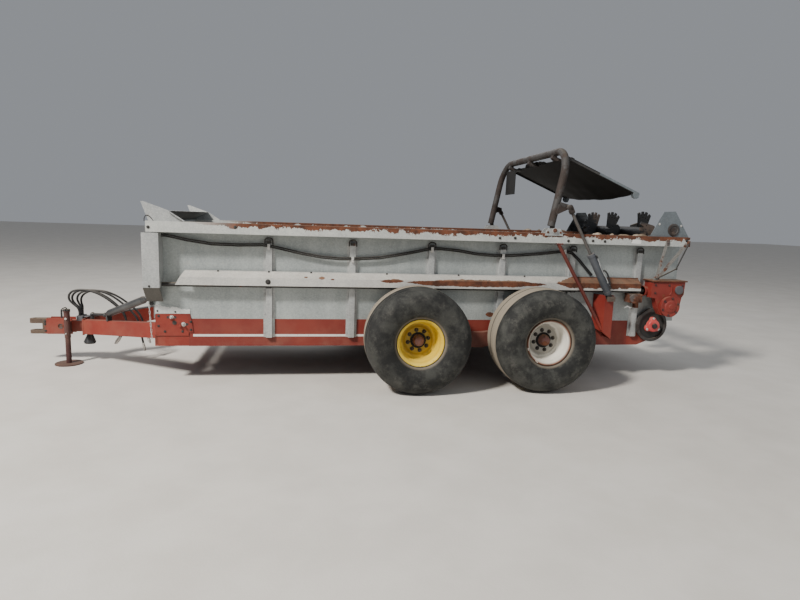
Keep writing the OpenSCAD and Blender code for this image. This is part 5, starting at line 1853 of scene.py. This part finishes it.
    def disc(self) -> None:
        """Rims the disc and sets its hub, with its bolts and the end of the shaft.

        Each ring of the hub lies at a distance from the middle plane, is shrunk by a share of the outline, and is
        evened out towards a circle by another.
        """
        x, z = self.hub
        rim = [(0.934, 0.149), (0.938, 0.152), (0.939, 0.172), (0.936, 0.1815), (0.908, 0.1815), (0.905, 0.172)]
        self.shop.fit(Skin().spun(rim, at(x, 0.0, z), -ACROSS, 72, loop=True), "disc_rim", "scale")
        turn = circle(120)
        reach = self.hub_outline(turn)
        rows = []
        for y, share, evened in self.hub_rings:
            rows.append(around(at(x, -y, z), share * ((1 - evened) * reach + evened * self.hub_radius), turn))
        self.shop.fit(Skin().net(np.array(rows)), "disc_hub", "pink", sharp=50)
        pale = Skin().bolts(around(at(x, -0.962, z), self.hub_bolts, np.radians(self.lobes)), -ACROSS, 0.0115, 0.008)
        self.shop.fit(pale, "disc_hub_bolts", "bright")
        shaft = [(0.0, 0.031), (0.016, 0.0285), (0.017, 0.0265), (0.0195, 0.0265), (0.0205, 0.001)]
        self.shop.fit(Skin().spun(shaft, at(x, -0.983, z), -ACROSS, 32), "disc_shaft_end", "dark")

    def worm_box(self) -> None:
        """Bolts the lid of the worm box and hangs the pale broken strap under it, as a zigzag band."""
        feet = spots([(x, z) for x in (4.922, 5.048) for z in (0.874, 0.942)], -1.005)
        lid = Skin().bolts(feet, -ACROSS, 0.0085, 0.008)
        lid.bolts(at(4.955, -1.03, 0.905), -ACROSS, 0.016, 0.011)
        self.shop.fit(lid, "worm_box_bolts", "rust")
        x = np.linspace(*self.strap, 29)
        top = 0.818 - 0.018 * abs((x - x[0]) * 14.3 % 1.0 * 2 - 1)
        rows = np.array([spots(np.column_stack([x, top + up]), -0.936 + inward)
                         for inward, up in ((0.0, 0.0), (0.0, -0.013), (0.004, -0.013), (0.004, 0.0))])
        self.shop.fit(Skin().net(rows, ring=False, loop=True), "broken_strap", "clean_zinc", sharp=50)

    def guard_bearings(self) -> None:
        """Rusty bearings of the upper beater and pale nuts on its guards."""
        ring = [(-0.001, 0.066), (0.006, 0.066), (0.011, 0.06), (0.012, 0.046), (0.004, 0.04), (0.004, 0.027)]
        for side in Side:
            flange = Skin().spun(ring, at(5.352, side.value, 1.655), side.out, 40)
            self.shop.fit(flange, f"guard_bearing_{side.word}", "scale")
            nuts = Skin().bolts(spots(((5.182, 1.712), (5.438, 1.7)), side.value), side.out, 0.009, 0.008)
            self.shop.fit(nuts, f"guard_nuts_{side.word}", "bright")

    def braces(self) -> None:
        """Rusty heads of the two rear braces, and the third, bent brace."""
        heads = Skin().boxes(spots(((5.283, 1.516), (5.524, 1.512)), -1.0335), (0.036, 0.006, 0.062))
        heads.bolts(spots(((5.283, 1.522), (5.524, 1.518)), -1.0365), -ACROSS, 0.011, 0.009)
        self.shop.fit(heads, "brace_heads", "rust", bevel=0.002)
        bent = smooth_line(spots(((5.176, 1.128), (5.396, 1.236), (5.41, 1.256), (5.53, 1.53)), -1.04), 40)
        self.shop.fit(Skin().tube(bent, 0.0075, 10), "bent_brace", "dark")

    def build(self) -> None:
        """Builds the drive line's details."""
        self.guard_bearings()
        self.braces()
        self.cover_parts()
        self.gearbox()
        self.disc()
        self.worm_box()


# Finish of each CAD node

NODE_FINISH: dict[str, str] = {
    "sill": "sills",
    "hitch": "hitch",
    "red": "cross_members front_bolster shaft_plates tongue_beam_left tongue_beam_right",
    # the tandem beams' darkened brick red is painted shade
    "brick": "tandem_beams",
    "post": "cylinder_posts",
    "cast_red": "main_gearbox lower_bearing",
    "dark_red": "jack_sleeve jack_leg",
    "zinc": "stakes_left stakes_right front_splash_guard gate_brackets",
    "trunk": "front_drive_shield",
    "strut": "rear_struts",
    "guard": "beater_guards",
    "wall": "wall_left wall_right front_wall",
    "rail": "top_rails",
    "cover": "shaft_cover",
    "rust": "apron apron_gearbox",
    "scale": "gate_arch",
    "dark": "side_shaft apron_shafts front_gearcase floor",
    "shield": "pto_shaft",
    "beater": "upper_beater lower_beater gate_panel",
    "grey": "barrel_left barrel_right feed_lines",
    "rod": "rod_left rod_right",
    "hose": "side_lines hose_1 hose_2 hose_3 hose_4",
    "bright": "hose_couplers safety_chain",
    "tyre_front": "tyre_left_front tyre_right_front",
    "tyre_rear": "tyre_left_rear tyre_right_rear",
    "yellow": "rim_left_front rim_right_front",
    "white": "rim_left_rear rim_right_rear",
}


def main() -> None:
    """Builds the scene: camera and hoses first, then the wheels and the rest."""
    logging.basicConfig(level=logging.INFO, format="%(message)s")
    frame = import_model()
    shop = Shop()
    studio = Studio()
    studio.camera()
    for finish, nodes in NODE_FINISH.items():
        for node in nodes.split():
            shop.coat(frame["nodes"][node].data, finish)
    Hoses(shop).build()
    studio.floor()
    studio.light()
    for assembly in (Wheels, LoadBox, Tongue, Gate, DriveLine):
        assembly(shop).build()
    LOG.info("%d pieces made", shop.count)


if __name__ == "__main__":
    main()
